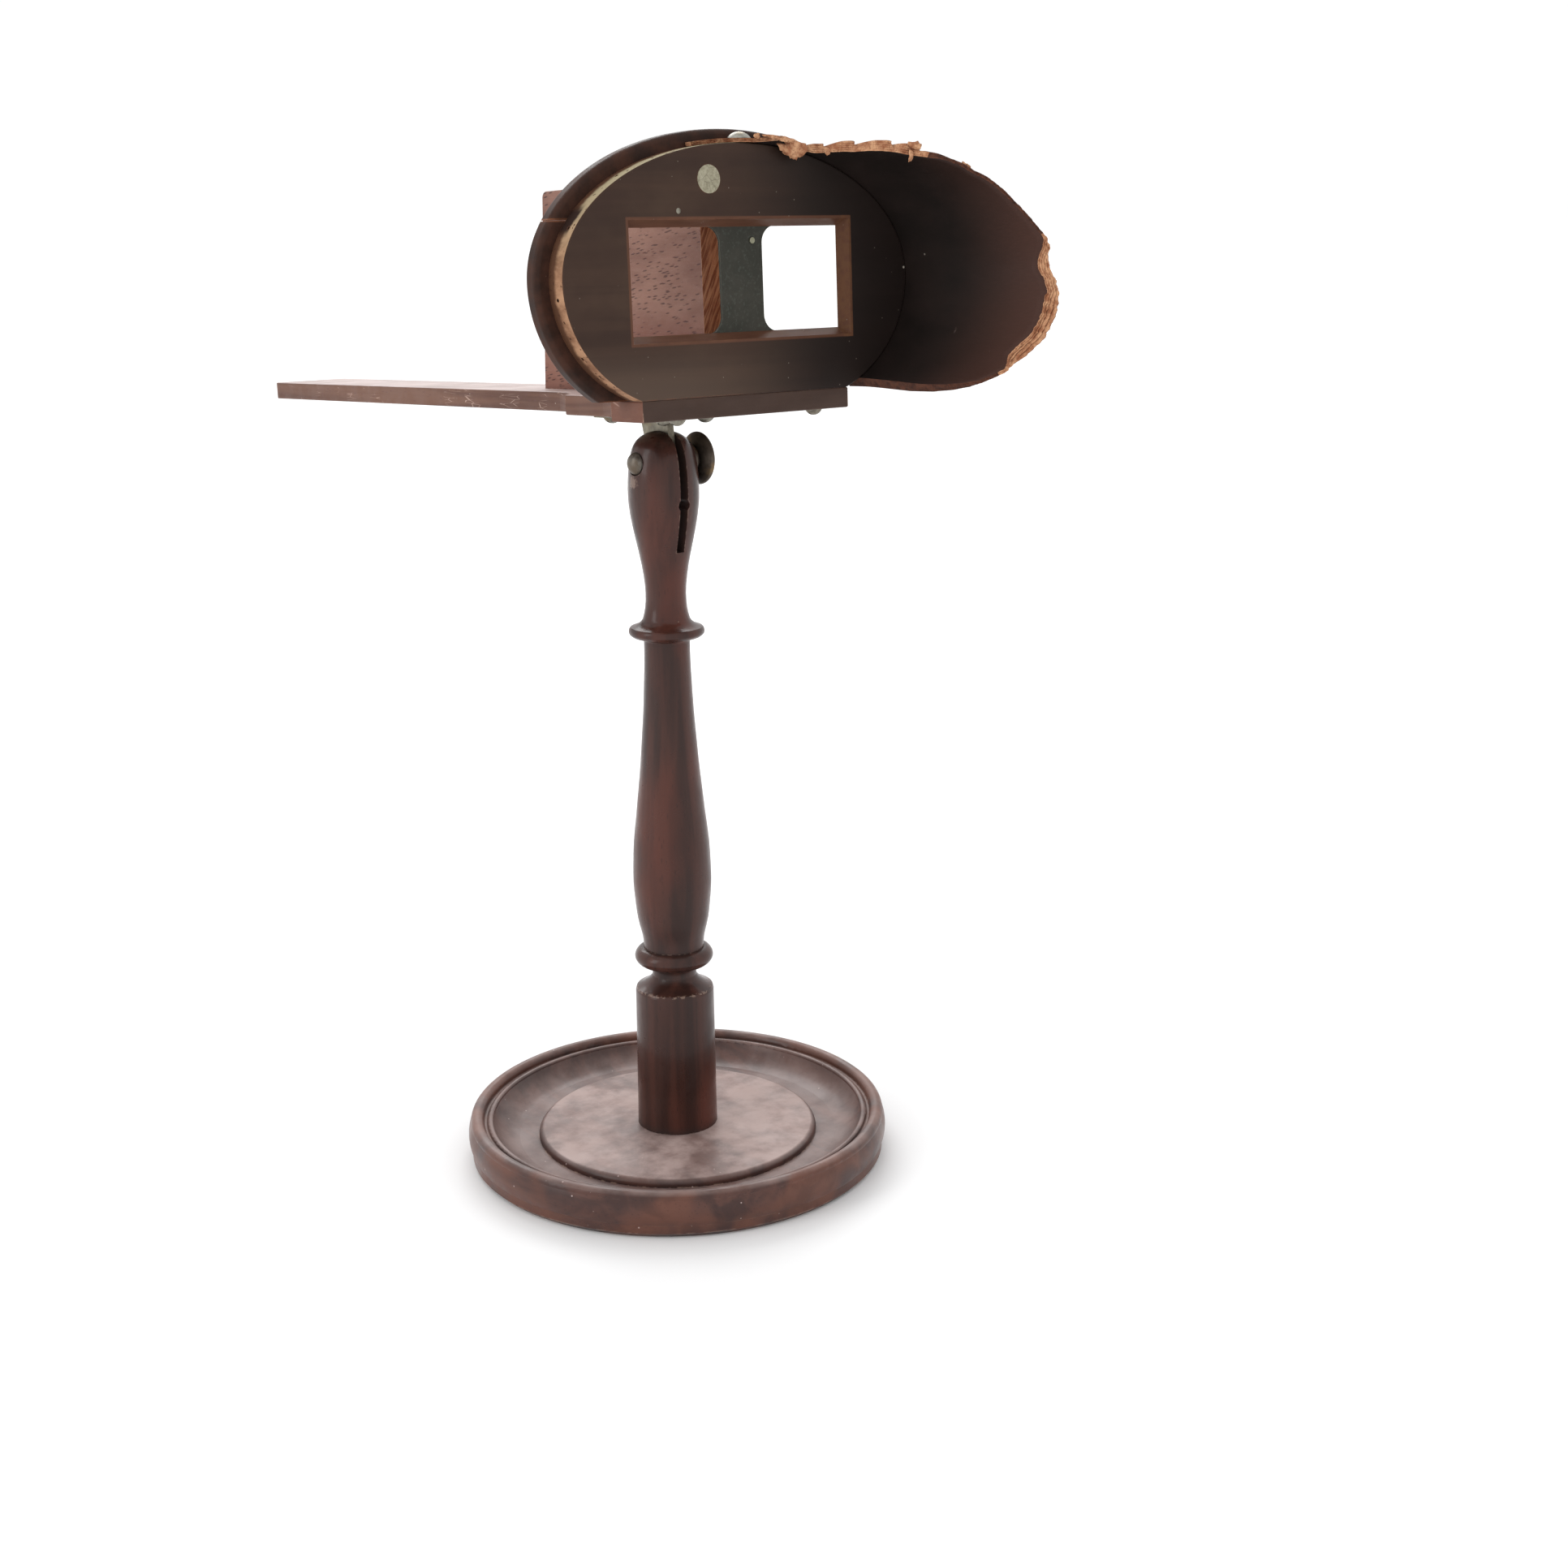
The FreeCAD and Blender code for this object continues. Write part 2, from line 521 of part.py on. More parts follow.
def build_lens_board():
    body = new_body("lens_board_blank")
    sketch = new_sketch(body, "XZ_Plane")
    a, b, mid = size("oval_half"), size("oval_rise"), size("oval_middle")
    inset, drop = size("haunch_inset"), size("haunch_drop")
    arch = Part.Ellipse(V(a, mid, 0), V(0, mid + b, 0), V(0, mid, 0))
    sketch.addGeometry(Part.ArcOfEllipse(arch, 0, math.pi), False)
    right = Part.Ellipse(V(a, mid, 0), V(inset, mid + drop, 0), V(inset, mid, 0))
    sketch.addGeometry(Part.ArcOfEllipse(right, -HAUNCH_END, 0), False)
    left = Part.Ellipse(V(-inset + a - inset, mid, 0), V(-inset, mid + drop, 0), V(-inset, mid, 0))
    sketch.addGeometry(Part.ArcOfEllipse(left, math.pi, math.pi + HAUNCH_END), False)
    foot = inset + (a - inset) * math.cos(HAUNCH_END)
    sketch.addGeometry(Part.LineSegment(V(-foot, size("board_thick"), 0), V(foot, size("board_thick"), 0)), False)
    pad(body, sketch, "Params.lens_board_thick", reverse=True)

    front = new_sketch(body, "XZ_Plane")
    rectangle(front, "-Params.sight_front_half", "Params.sight_front_half",
              "Params.sight_middle - Params.sight_front_rise", "Params.sight_middle + Params.sight_front_rise")
    back = new_sketch(body, "XZ_Plane", "-Params.bevel_depth")
    rectangle(back, "-Params.sight_back_half", "Params.sight_back_half",
              "Params.sight_middle - Params.sight_back_rise", "Params.sight_middle + Params.sight_back_rise")
    bevel = body.newObject("PartDesign::SubtractiveLoft", "sight_bevel")
    bevel.Profile = front
    bevel.Sections = [back]
    doc.recompute()
    seat = new_sketch(body, "XZ_Plane", "-Params.bevel_depth")
    rectangle(seat, "-Params.seat_half", "Params.seat_half",
              "Params.sight_middle - Params.seat_rise", "Params.sight_middle + Params.seat_rise")
    pocket(body, seat, "Params.lens_board_thick - Params.bevel_depth")
    for x, y in BOARD_SCREWS:
        hole = new_sketch(body, "XY_Plane", "Params.board_thick")
        circle(hole, str(x), str(y), "Params.pilot_radius")
        pocket(body, hole, "Params.board_screw_depth", reverse=True)

    def sharp_front(edge):
        box = edge.BoundBox
        return box.YMax < 1e-6 and box.XLength > 70 and box.ZMax > 60
    round_edges(body, 0.4, sharp_front)

    nails = [hood_nail(turn, hood_wall_at(turn)) for turn in HOOD_NAIL_TURNS]
    old_holes = [rod(0.55, 6, V(x + nx, NAIL_LINE, z + nz), V(-nx, 0, -nz))
                 for x, z, nx, nz in map(rim_point, OLD_NAIL_TURNS)]
    tack = top_tack()
    drilled = doc.addObject("Part::Feature", "nail_holes")
    drilled.Shape = Part.makeCompound(nails + old_holes + [tack, board_plug(), board_brad()])
    board = doc.addObject("Part::Cut", "lens_board")
    board.Base, board.Tool = body, drilled
    doc.recompute()
    node(board, "lens_board", HEAD)
    screws = [wood_screw(V(x, y, 0), Z_AXIS, 2.6, 1.8, 1.1, 14.5) for x, y in BOARD_SCREWS]
    shanks = [screw.fuse(rod(1.25, size("board_thick"), V(x, y, 0), Z_AXIS)).removeSplitter()
              for screw, (x, y) in zip(screws, BOARD_SCREWS)]
    solid_node(Part.makeCompound(shanks), "lens_board_screws")


def board_plug():
    """Filler disc let into the face of the lens board, flush with it."""
    return rod(4.0, 1.5, V(-11.7, -0.15, 67.6), Y_AXIS)


def board_brad():
    return nail(V(-22.8, 0, 58.8), Y_AXIS, 0.8, 0.25, 0.4, 3)


def mask_pin():
    """Flat-headed pin through the middle strip of the mask."""
    seat, x, z = size("bevel_depth"), size("mask_pin_x"), size("mask_pin_z")
    head = rod(size("mask_pin_head_radius"), size("mask_pin_head"), V(x, seat - size("mask_pin_head"), z), Y_AXIS)
    return head.fuse(rod(size("mask_pin_radius"), size("mask_thick") + 0.02, V(x, seat, z), Y_AXIS))


def top_tack():
    """Domed tack driven down into the top of the lens board's edge."""
    seat = V(2.2, NAIL_LINE, size("oval_middle") + size("oval_rise") + size("hood_inner_ply"))
    return nail(seat, Z_AXIS * -1, 3.6, 2.0, 0.8, 9)


def build_mask():
    body = new_body("mask_plate")
    sketch = new_sketch(body, "XZ_Plane", "-Params.bevel_depth")
    rectangle(sketch, "-Params.seat_half + 0.2", "Params.seat_half - 0.2",
              "Params.sight_middle - Params.seat_rise + 0.2", "Params.sight_middle + Params.seat_rise - 0.2")
    pad(body, sketch, "Params.mask_thick", reverse=True)
    for near, far in (("Params.mask_shift + Params.mask_strip_half", "Params.mask_window_half"),
                      ("-Params.mask_window_half", "Params.mask_shift - Params.mask_strip_half")):
        window = new_sketch(body, "XZ_Plane", "-Params.bevel_depth")
        rectangle(window, near, far, "Params.sight_middle - Params.mask_window_rise",
                  "Params.sight_middle + Params.mask_window_rise")
        pocket(body, window, "Params.mask_thick")
    low = size("sight_middle") - size("mask_window_rise")
    high = size("sight_middle") + size("mask_window_rise")

    def strip_corner(edge):
        box = edge.BoundBox
        at_corner = min(abs(box.ZMin - low), abs(box.ZMin - high)) < 1e-3
        straight = box.XLength < 1e-6 and box.ZLength < 1e-6 and box.YLength > 0.5
        return straight and abs(box.XMin) < 12 and at_corner
    round_edges(body, size("mask_corner"), strip_corner)
    pin_hole = new_sketch(body, "XZ_Plane", "-Params.bevel_depth")
    circle(pin_hole, "Params.mask_pin_x", "Params.mask_pin_z", "Params.mask_pin_radius + 0.01")
    pocket(body, pin_hole, "Params.mask_thick")
    node(body, "mask_plate", HEAD)
    solid_node(mask_pin(), "mask_pin")


def build_lenses():
    seat = size("bevel_depth") + size("mask_thick") + 0.05
    thin, thick = size("lens_thin"), size("lens_thick")
    near, far, rise, middle = size("lens_inner"), size("lens_outer"), size("lens_rise"), size("mask_shift")
    low, high = size("sight_middle") - rise, size("sight_middle") + rise
    for side, label in ((-1, "lens_left"), (1, "lens_right")):
        belly = V(middle + side * (near + far) / 2, seat + (thin + thick) / 2 + 0.35, low)
        back = Part.Arc(V(middle + side * near, seat + thin, low), belly,
                        V(middle + side * far, seat + thick, low)).toShape()
        edges = [back] + [Part.makeLine(V(middle + side * x0, seat + d0, low), V(middle + side * x1, seat + d1, low))
                          for x0, d0, x1, d1 in ((far, thick, far, 0), (far, 0, near, 0), (near, 0, near, thin))]
        lens = Part.Face(Part.Wire(Part.__sortEdges__(edges))).extrude(V(0, 0, high - low))
        solid_node(lens, label)


def build_rails():
    for side, label in ((-1, "lens_rail_bottom"), (1, "lens_rail_top")):
        body = new_body(label)
        sketch = new_sketch(body, "YZ_Plane")
        edge = f"Params.sight_middle + {side} * "
        lens_edge = edge + "(Params.lens_rise + 0.1)"
        outer = edge + "(Params.lens_rise + Params.rail_height)"
        lip = edge + "(Params.lens_rise - Params.rail_lip)"
        outline(sketch, [("Params.lens_board_thick", lens_edge), ("Params.lens_board_thick", outer),
                         ("Params.rail_back", outer), ("Params.rail_back", lip),
                         ("Params.rail_back - Params.rail_lip", lip),
                         ("Params.rail_back - Params.rail_lip", lens_edge)])
        pad(body, sketch, "2 * Params.rail_half", both=True)
        node(body, label, HEAD)
    divider = doc.addObject("Part::Box", "lens_divider")
    divider.setExpression("Length", "2 * Params.divider_half")
    divider.setExpression("Width", "Params.divider_depth")
    divider.setExpression("Height", "2 * (Params.lens_rise - Params.divider_short)")
    doc.recompute()
    seat = size("bevel_depth") + size("mask_thick") + 0.05
    left = size("divider_shift") + size("mask_shift") - size("divider_half")
    low = size("sight_middle") - size("lens_rise") + size("divider_short")
    offset = FreeCAD.Placement(V(left, seat, low), FreeCAD.Rotation())
    node(divider, "lens_divider", HEAD * offset)


def ring_piece(start, end, floor=None, ceiling=None):
    """Length of the oval moulding between two turns, flat against the back of the lens board."""
    turns = spread(start, end, 41)
    outside, outer = rim_curve(size("ring_outside"), size("lens_board_thick"), turns)
    inside, inner = rim_curve(-size("ring_inside"), size("lens_board_thick"), turns)
    ends = [Part.makeLine(outer[0], inner[0]), Part.makeLine(outer[-1], inner[-1])]
    face = Part.Face(Part.Wire(Part.__sortEdges__([outside, ends[1], inside, ends[0]])))
    solid = face.extrude(V(0, size("ring_thick"), 0))
    far = 400.0
    if floor is not None:
        solid = solid.common(Part.makeBox(far, far, far, V(-far / 2, -far / 2, floor)))
    if ceiling is not None:
        solid = solid.common(Part.makeBox(far, far, far, V(-far / 2, -far / 2, ceiling - far)))
    solid = solid.Solids[0]
    rounded = []
    for edge in solid.Edges:
        middle = edge.valueAt((edge.FirstParameter + edge.LastParameter) / 2)
        if edge.Length > 20 and edge.BoundBox.YLength < 1e-6:
            away = min((V(p.x, 0, p.z).distanceToPoint(V(middle.x, 0, middle.z)) for p in outer))
            if away < 3:
                rounded.append(edge)
    return solid.makeFillet(1.6, rounded)


def build_ring():
    joint, gap, floor = size("ring_joint"), size("ring_gap"), size("board_thick") + 0.02
    solid_node(ring_piece(0.1, 0.9, floor=joint + gap / 2), "ring_upper")
    solid_node(ring_piece(-0.04, 0.3, floor=floor, ceiling=joint - gap / 2), "ring_left")
    solid_node(ring_piece(0.7, 1.04, floor=floor, ceiling=joint - gap / 2), "ring_right")


# ---------------------------------------------------------------- hood
# Torn edge of the hood: turn along the lens board's edge, how far the wall reaches toward the eyes, wall left there.
TORN_EDGE = [(0.455, -4.0, 1.3), (0.465, -3.0, 1.3), (0.475, -1.0, 1.3), (0.488, -0.4, 1.3), (0.50, 0.6, 1.3),
             (0.513, 1.2, 1.3), (0.525, 3.2, 1.3), (0.536, 5.6, 1.3), (0.547, 3.4, 1.4), (0.558, 1.8, 1.7),
             (0.570, 2.4, 2.2), (0.584, 4.2, 2.8), (0.596, 8.8, 3.1), (0.608, 13.0, 3.2), (0.615, 17.2, 3.2),
             (0.622, 20.5, 3.2), (0.630, 23.4, 3.2), (0.638, 25.5, 3.0), (0.650, 29.6, 1.9), (0.662, 34.0, 1.1),
             (0.675, 36.8, 1.0), (0.688, 38.6, 0.9), (0.698, 41.0, 0.9), (0.716, 43.6, 0.9), (0.734, 45.8, 0.9),
             (0.748, 48.0, 0.9), (0.762, 50.4, 1.0), (0.776, 52.8, 1.4), (0.786, 54.2, 2.2), (0.798, 52.4, 3.0),
             (0.810, 52.4, 3.2), (0.822, 55.2, 3.2), (0.838, 57.2, 3.2), (0.854, 58.0, 3.2), (0.868, 57.4, 3.2),
             (0.882, 57.0, 3.2), (0.895, 55.0, 3.2), (0.908, 53.4, 3.2), (0.921, 52.4, 2.4), (0.936, 52.4, 1.2),
             (0.948, 50.0, 0.9), (0.958, 47.4, 0.9), (0.966, 42.5, 0.9), (0.973, 36.0, 0.9), (0.977, 27.0, 0.9)]
FEATHER = 9.0


def hood_wall_at(turn):
    """Only the inner plies are left near the top of the hood; the wall is whole from there to the right."""
    thin, full = size("hood_inner_ply"), size("hood_wall")
    blend = min(1.0, max(0.0, (turn - 0.54) / 0.07))
    return thin + (full - thin) * blend * blend * (3 - 2 * blend)


def hood_point(turn, reach, wall):
    """Point on the hood at a reach in front of the board face; the wall flares out, most on top, least underneath."""
    x, z, nx, nz = rim_point(turn)
    ahead = max(0.0, reach)
    ease = ahead * ahead / (ahead + 6.0)
    flare = size("hood_flare") * ease * (1 - 0.62 * max(0.0, -nz))
    lift = size("hood_lift") * ahead * ahead / (ahead * ahead + 60) * max(0.0, nz)
    out = wall + flare + lift
    return V(x + nx * out, -reach, z + nz * out)


def torn_edge_at(turn):
    """(reach, wall) of the torn edge at a turn."""
    for (t0, *start), (t1, *end) in zip(TORN_EDGE, TORN_EDGE[1:]):
        if turn <= t1:
            share = (turn - t0) / (t1 - t0)
            return [a + (b - a) * share for a, b in zip(start, end)]
    return TORN_EDGE[-1][1:]


def hood_section(turn):
    """Closed cross-section of the wall at one turn; the outer plies thin out toward the torn edge."""
    start = -size("lens_board_thick") + 0.05
    reach, left = torn_edge_at(turn)
    shoulder = max(start + 1, reach - FEATHER)
    inside = [hood_point(turn, y, size("hood_fit")) for y in spread(start, reach, 5)]
    outside = [hood_point(turn, y, hood_wall_at(turn)) for y in spread(start, shoulder, 4)]
    outside.append(hood_point(turn, reach, left))
    return Part.makePolygon(inside + outside[::-1] + inside[:1])


def build_hood():
    turns = spread(TORN_EDGE[0][0], TORN_EDGE[-1][0], 72)
    solid = Part.makeLoft([hood_section(turn) for turn in turns], True, True)
    nails = [hood_nail(turn, hood_wall_at(turn)) for turn in HOOD_NAIL_TURNS]
    solid = solid.cut(Part.makeCompound(nails + [top_tack()]))
    solid_node(solid.Solids[0], "hood_shell")
    solid_node(Part.makeCompound(nails), "hood_nails")
    solid_node(top_tack(), "top_tack")
    solid_node(board_plug(), "board_plug")
    solid_node(board_brad(), "board_brad")


def write_parts():
    doc.recompute()
    for obj in doc.Objects:
        if "Invalid" in obj.State or "Error" in obj.State:
            raise RuntimeError(f"{obj.Label}: {obj.State}")
    os.makedirs("parts", exist_ok=True)
    for obj in nodes:
        shape = obj.Shape
        if shape.isNull() or not shape.isValid():
            raise RuntimeError(f"{obj.Label} has no valid shape")
        shape.exportStep(os.path.join("parts", obj.Label + ".step"))
        print(f"{obj.Label}: {len(shape.Solids)} solid(s), {shape.Volume / 1000:.2f} cm3")


build_base()
build_column()
build_clamp()
build_column_screw()
build_shaft_board()
build_bracket()
build_septum()
build_lens_board()
build_mask()
build_lenses()
build_rails()
build_ring()
build_hood()
write_parts()
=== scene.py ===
import math

import bmesh
import bpy
from mathutils import Matrix, Vector, noise


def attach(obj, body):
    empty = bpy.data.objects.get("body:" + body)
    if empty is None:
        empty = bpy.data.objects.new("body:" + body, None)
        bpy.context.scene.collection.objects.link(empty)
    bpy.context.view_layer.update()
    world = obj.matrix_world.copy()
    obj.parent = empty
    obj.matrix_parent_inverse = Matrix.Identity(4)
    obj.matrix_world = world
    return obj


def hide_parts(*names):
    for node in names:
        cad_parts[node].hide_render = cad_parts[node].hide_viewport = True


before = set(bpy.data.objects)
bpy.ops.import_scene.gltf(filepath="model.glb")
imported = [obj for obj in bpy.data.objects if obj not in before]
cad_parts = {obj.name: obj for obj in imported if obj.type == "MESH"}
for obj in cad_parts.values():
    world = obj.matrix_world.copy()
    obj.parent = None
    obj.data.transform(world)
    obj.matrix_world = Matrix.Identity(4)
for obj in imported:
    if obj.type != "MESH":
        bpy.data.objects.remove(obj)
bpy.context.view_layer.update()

MM = 0.001

# The viewing head's own frame: origin at the middle of the crossbar's lower front edge, x right,
# y away from the eyes, z up. It turns about the clamp bolt and sits 2.3 degrees nose-down at rest.
BOLT_HEIGHT, PIVOT_BACK, PIVOT_DROP = 234.1, 45.8, 15.6
HEAD_TILT = math.radians(-2.3)
HEAD = (Matrix.Translation((0, 0, BOLT_HEIGHT)) @ Matrix.Rotation(HEAD_TILT, 4, "X")
        @ Matrix.Translation((0, -PIVOT_BACK, PIVOT_DROP)))

# Outline of the lens board, in the head's frame and in mm: half an oval above, rounded haunches below.
# OVAL_SHARE is the share of each side's half of the edge that the oval takes.
OVAL_HALF, OVAL_RISE, OVAL_MIDDLE = 63.2, 38.3, 39.5
HAUNCH_INSET, HAUNCH_DROP, BOARD_FOOT = 20.0, 36.8, 6.2
HAUNCH_END = math.asin((OVAL_MIDDLE - BOARD_FOOT) / HAUNCH_DROP)
OVAL_SHARE = 0.62
LENS_BOARD_THICK = 7.0
SIGHT_HALF, SIGHT_RISE, SIGHT_MIDDLE = 41.2, 17.9, 39.3

# Places on the stand that a finish picks out, in mm: heights where the shoulder's rub starts, is full,
# fades and ends; the rub below the bolt's head; radii of the base's plateau and rim.
COLUMN_SHOULDER = (57.7, 58.2, 58.5, 58.9)
BOLT_RUB = (-10.7, 0.6, 228.2)
PLATEAU_RADIUS, RIM_RADIUS = 46.0, 64.5

# Places on the head: x of the sight opening's right bevel, z of the split in the board's edge and of the
# moulding's butt joints, y of the crossbar's back.
BEVEL_RIGHT = 37.55
EDGE_SPLIT, RING_JOINT = 56.5, 56.8
CROSSBAR_BACK = 17.0


# ---------------------------------------------------------------- node shorthand
class Graph:
    """Node tree of one material, with short calls for the nodes the finishes are made of."""

    def __init__(self, name):
        self.material = bpy.data.materials.new(name)
        self.material.use_nodes = True
        self.tree = self.material.node_tree
        self.shader = self.tree.nodes["Principled BSDF"]
        self.coords = {}

    def add(self, kind, **settings):
        made = self.tree.nodes.new(kind)
        for name, value in settings.items():
            setattr(made, name, value)
        return made

    def link(self, source, target):
        """Join two sockets, or set the target where the source is a plain value."""
        if isinstance(source, bpy.types.NodeSocket):
            self.tree.links.new(source, target)
        else:
            target.default_value = source

    def object_coords(self):
        if "object" not in self.coords:
            self.coords["object"] = self.add("ShaderNodeTexCoord")
        return self.coords["object"]

    def place(self, head):
        """Position in mm: in the head's own frame, or in the stand's."""
        key = "head" if head else "stand"
        if key not in self.coords:
            mapping = self.add("ShaderNodeMapping", vector_type="TEXTURE")
            if head:
                mapping.inputs["Location"].default_value = HEAD.translation * MM
                mapping.inputs["Rotation"].default_value = (HEAD_TILT, 0, 0)
            mapping.inputs["Scale"].default_value = (MM, MM, MM)
            self.link(self.object_coords().outputs["Object"], mapping.inputs["Vector"])
            self.coords[key] = mapping.outputs["Vector"]
        return self.coords[key]

    def facing(self):
        """The three parts of the surface normal."""
        return self.split(self.object_coords().outputs["Normal"])

    def stretch(self, vector, scale):
        mapping = self.add("ShaderNodeMapping")
        mapping.inputs["Scale"].default_value = scale
        self.link(vector, mapping.inputs["Vector"])
        return mapping.outputs["Vector"]

    def turn(self, vector, axis, degrees):
        rotate = self.add("ShaderNodeVectorRotate", rotation_type=axis + "_AXIS")
        rotate.inputs["Angle"].default_value = math.radians(degrees)
        self.link(vector, rotate.inputs["Vector"])
        return rotate.outputs[0]

    def math(self, operation, a, b=0.0):
        made = self.add("ShaderNodeMath", operation=operation)
        for value, socket in zip((a, b), made.inputs):
            self.link(value, socket)
        return made.outputs[0]

    def times(self, a, b):
        return self.math("MULTIPLY", a, b)

    def plus(self, a, b):
        return self.math("ADD", a, b)

    def minus(self, a, b):
        return self.math("SUBTRACT", a, b)

    def split(self, vector):
        made = self.add("ShaderNodeSeparateXYZ")
        self.link(vector, made.inputs[0])
        return made.outputs

    def radius(self, place):
        """Distance from the stand's axis."""
        x, y, _ = self.split(place)
        return self.math("SQRT", self.plus(self.times(x, x), self.times(y, y)))

    def near(self, value, middle, far, close):
        """1 within close of a middle value, 0 beyond far."""
        return self.step(self.math("ABSOLUTE", self.minus(value, middle)), far, close)

    def noise(self, vector, scale, detail, rough=0.55, warp=0.0):
        made = self.add("ShaderNodeTexNoise")
        self.link(vector, made.inputs["Vector"])
        made.inputs["Scale"].default_value = scale
        made.inputs["Detail"].default_value = detail
        made.inputs["Roughness"].default_value = rough
        made.inputs["Distortion"].default_value = warp
        return made.outputs["Fac"]

    def cells(self, vector, scale, feature="F1", output="Distance"):
        made = self.add("ShaderNodeTexVoronoi", feature=feature)
        self.link(vector, made.inputs["Vector"])
        made.inputs["Scale"].default_value = scale
        return made.outputs[output]

    def step(self, value, low, high, to_low=0.0, to_high=1.0):
        """Value mapped smoothly from low..high onto to_low..to_high, held outside."""
        made = self.add("ShaderNodeMapRange", interpolation_type="SMOOTHSTEP")
        for number, socket in zip((value, low, high, to_low, to_high), made.inputs):
            self.link(number, socket)
        return made.outputs["Result"]

    def mix(self, amount, a, b):
        made = self.add("ShaderNodeMix", data_type="RGBA", blend_type="MIX")
        self.link(amount, made.inputs["Factor"])
        self.link(colour(a), made.inputs["A"])
        self.link(colour(b), made.inputs["B"])
        return made.outputs["Result"]

    def tint(self, base, tone, amount, strength=None):
        """Base colour moved to another tone where amount is 1, or part of the way there by strength."""
        if strength is not None:
            amount = self.times(amount, strength)
        return self.mix(amount, base, tone)

    def occlusion(self, distance_mm):
        """1 in corners and grooves where shade falls, 0 on open surfaces; it places painted shade."""
        made = self.add("ShaderNodeAmbientOcclusion", samples=6)
        made.inputs["Distance"].default_value = distance_mm * MM
        return self.minus(1.0, made.outputs["AO"])

    def edges(self, radius_mm):
        """1 along worn corners, 0 on flat surfaces."""
        rounded = self.add("ShaderNodeBevel", samples=5)
        rounded.inputs["Radius"].default_value = radius_mm * MM
        plain = self.add("ShaderNodeNewGeometry")
        made = self.add("ShaderNodeVectorMath", operation="DOT_PRODUCT")
        self.link(rounded.outputs["Normal"], made.inputs[0])
        self.link(plain.outputs["Normal"], made.inputs[1])
        return self.step(made.outputs["Value"], 0.995, 0.86)

    def bump(self, height, depth_mm, strength, under=None):
        made = self.add("ShaderNodeBump")
        made.inputs["Strength"].default_value = strength
        made.inputs["Distance"].default_value = depth_mm * MM
        self.link(height, made.inputs["Height"])
        if under is not None:
            self.link(under, made.inputs["Normal"])
        return made.outputs["Normal"]

    def finish(self, base, rough, normal=None, **fixed):
        """Join colour, roughness and normal to the shader; fixed names its other sockets."""
        self.link(colour(base), self.shader.inputs["Base Color"])
        self.link(rough, self.shader.inputs["Roughness"])
        if normal is not None:
            self.link(normal, self.shader.inputs["Normal"])
        for name, value in fixed.items():
            self.shader.inputs[name.replace("_", " ")].default_value = value
        return self.material


def colour(value):
    """Three numbers become an opaque colour; anything else is passed on."""
    if isinstance(value, (tuple, list)) and len(value) == 3:
        return (*value, 1.0)
    return value


def rgb(red, green, blue):
    """Linear colour from 8-bit display values."""
    def linear(value):
        value /= 255
        return value / 12.92 if value <= 0.04045 else ((value + 0.055) / 1.055) ** 2.4
    return (linear(red), linear(green), linear(blue))


# ---------------------------------------------------------------- parts that several finishes share
FIBRE_STRETCH, PORE_STRETCH = 0.035, 0.22


def along_axis(axis, scale):
    """Scale on one axis only."""
    return tuple(scale if other == axis else 1.0 for other in "xyz")


def grain(graph, vector, axis, ring_mm):
    """Wood figure along one axis: (broad figure, fine fibre, dark pores), all 0 to 1."""
    drawn_out = graph.stretch(vector, along_axis(axis, FIBRE_STRETCH))
    figure = graph.noise(drawn_out, 1 / ring_mm, 3.0, 0.5, 0.6)
    fibre = graph.noise(drawn_out, 1.9, 6.0, 0.7)
    pores = graph.cells(graph.stretch(vector, along_axis(axis, PORE_STRETCH)), 0.9)
    return figure, fibre, graph.step(pores, 0.26, 0.12)


def speckle(graph, vector, scale, size):
    """Scattered small spots, 1 inside each; one cell in five has one."""
    spots = graph.cells(vector, scale)
    chosen = graph.cells(vector, scale, output="Color")
    some = graph.step(graph.split(chosen)[0], 0.78, 0.8)
    return graph.times(graph.step(spots, size, size * 0.6), some)


def worn_corners(graph, place, radius_mm, scale, low, high):
    """Rubbed corners, broken up by noise."""
    return graph.times(graph.edges(radius_mm), graph.step(graph.noise(place, scale, 3.0), low, high))


def painted_shade_in(graph, distance_mm, low, high):
    """Painted shade in corners and coves, 0 to 1."""
    return graph.step(graph.occlusion(distance_mm), low, high)


# ---------------------------------------------------------------- stand
def column_wear(graph, place):
    """Polish rubbed through: on the shoulder above the foot, below the bolt's head and on corners."""
    height = graph.split(place)[2]
    rubs = graph.noise(place, 0.8, 3.0)
    bottom, full, fading, top = COLUMN_SHOULDER
    band = graph.times(graph.step(height, bottom, full), graph.step(height, top, fading))
    shoulder = graph.times(band, graph.step(rubs, 0.5, 0.6))
    away = graph.add("ShaderNodeVectorMath", operation="DISTANCE")
    graph.link(place, away.inputs[0])
    away.inputs[1].default_value = BOLT_RUB
    near_bolt = graph.step(graph.plus(away.outputs["Value"], graph.times(rubs, 4.5)), 4.6, 3.6)
    corners = graph.times(graph.edges(0.7), graph.step(rubs, 0.5, 0.62))
    return graph.math("MAXIMUM", graph.math("MAXIMUM", shoulder, near_bolt), corners)


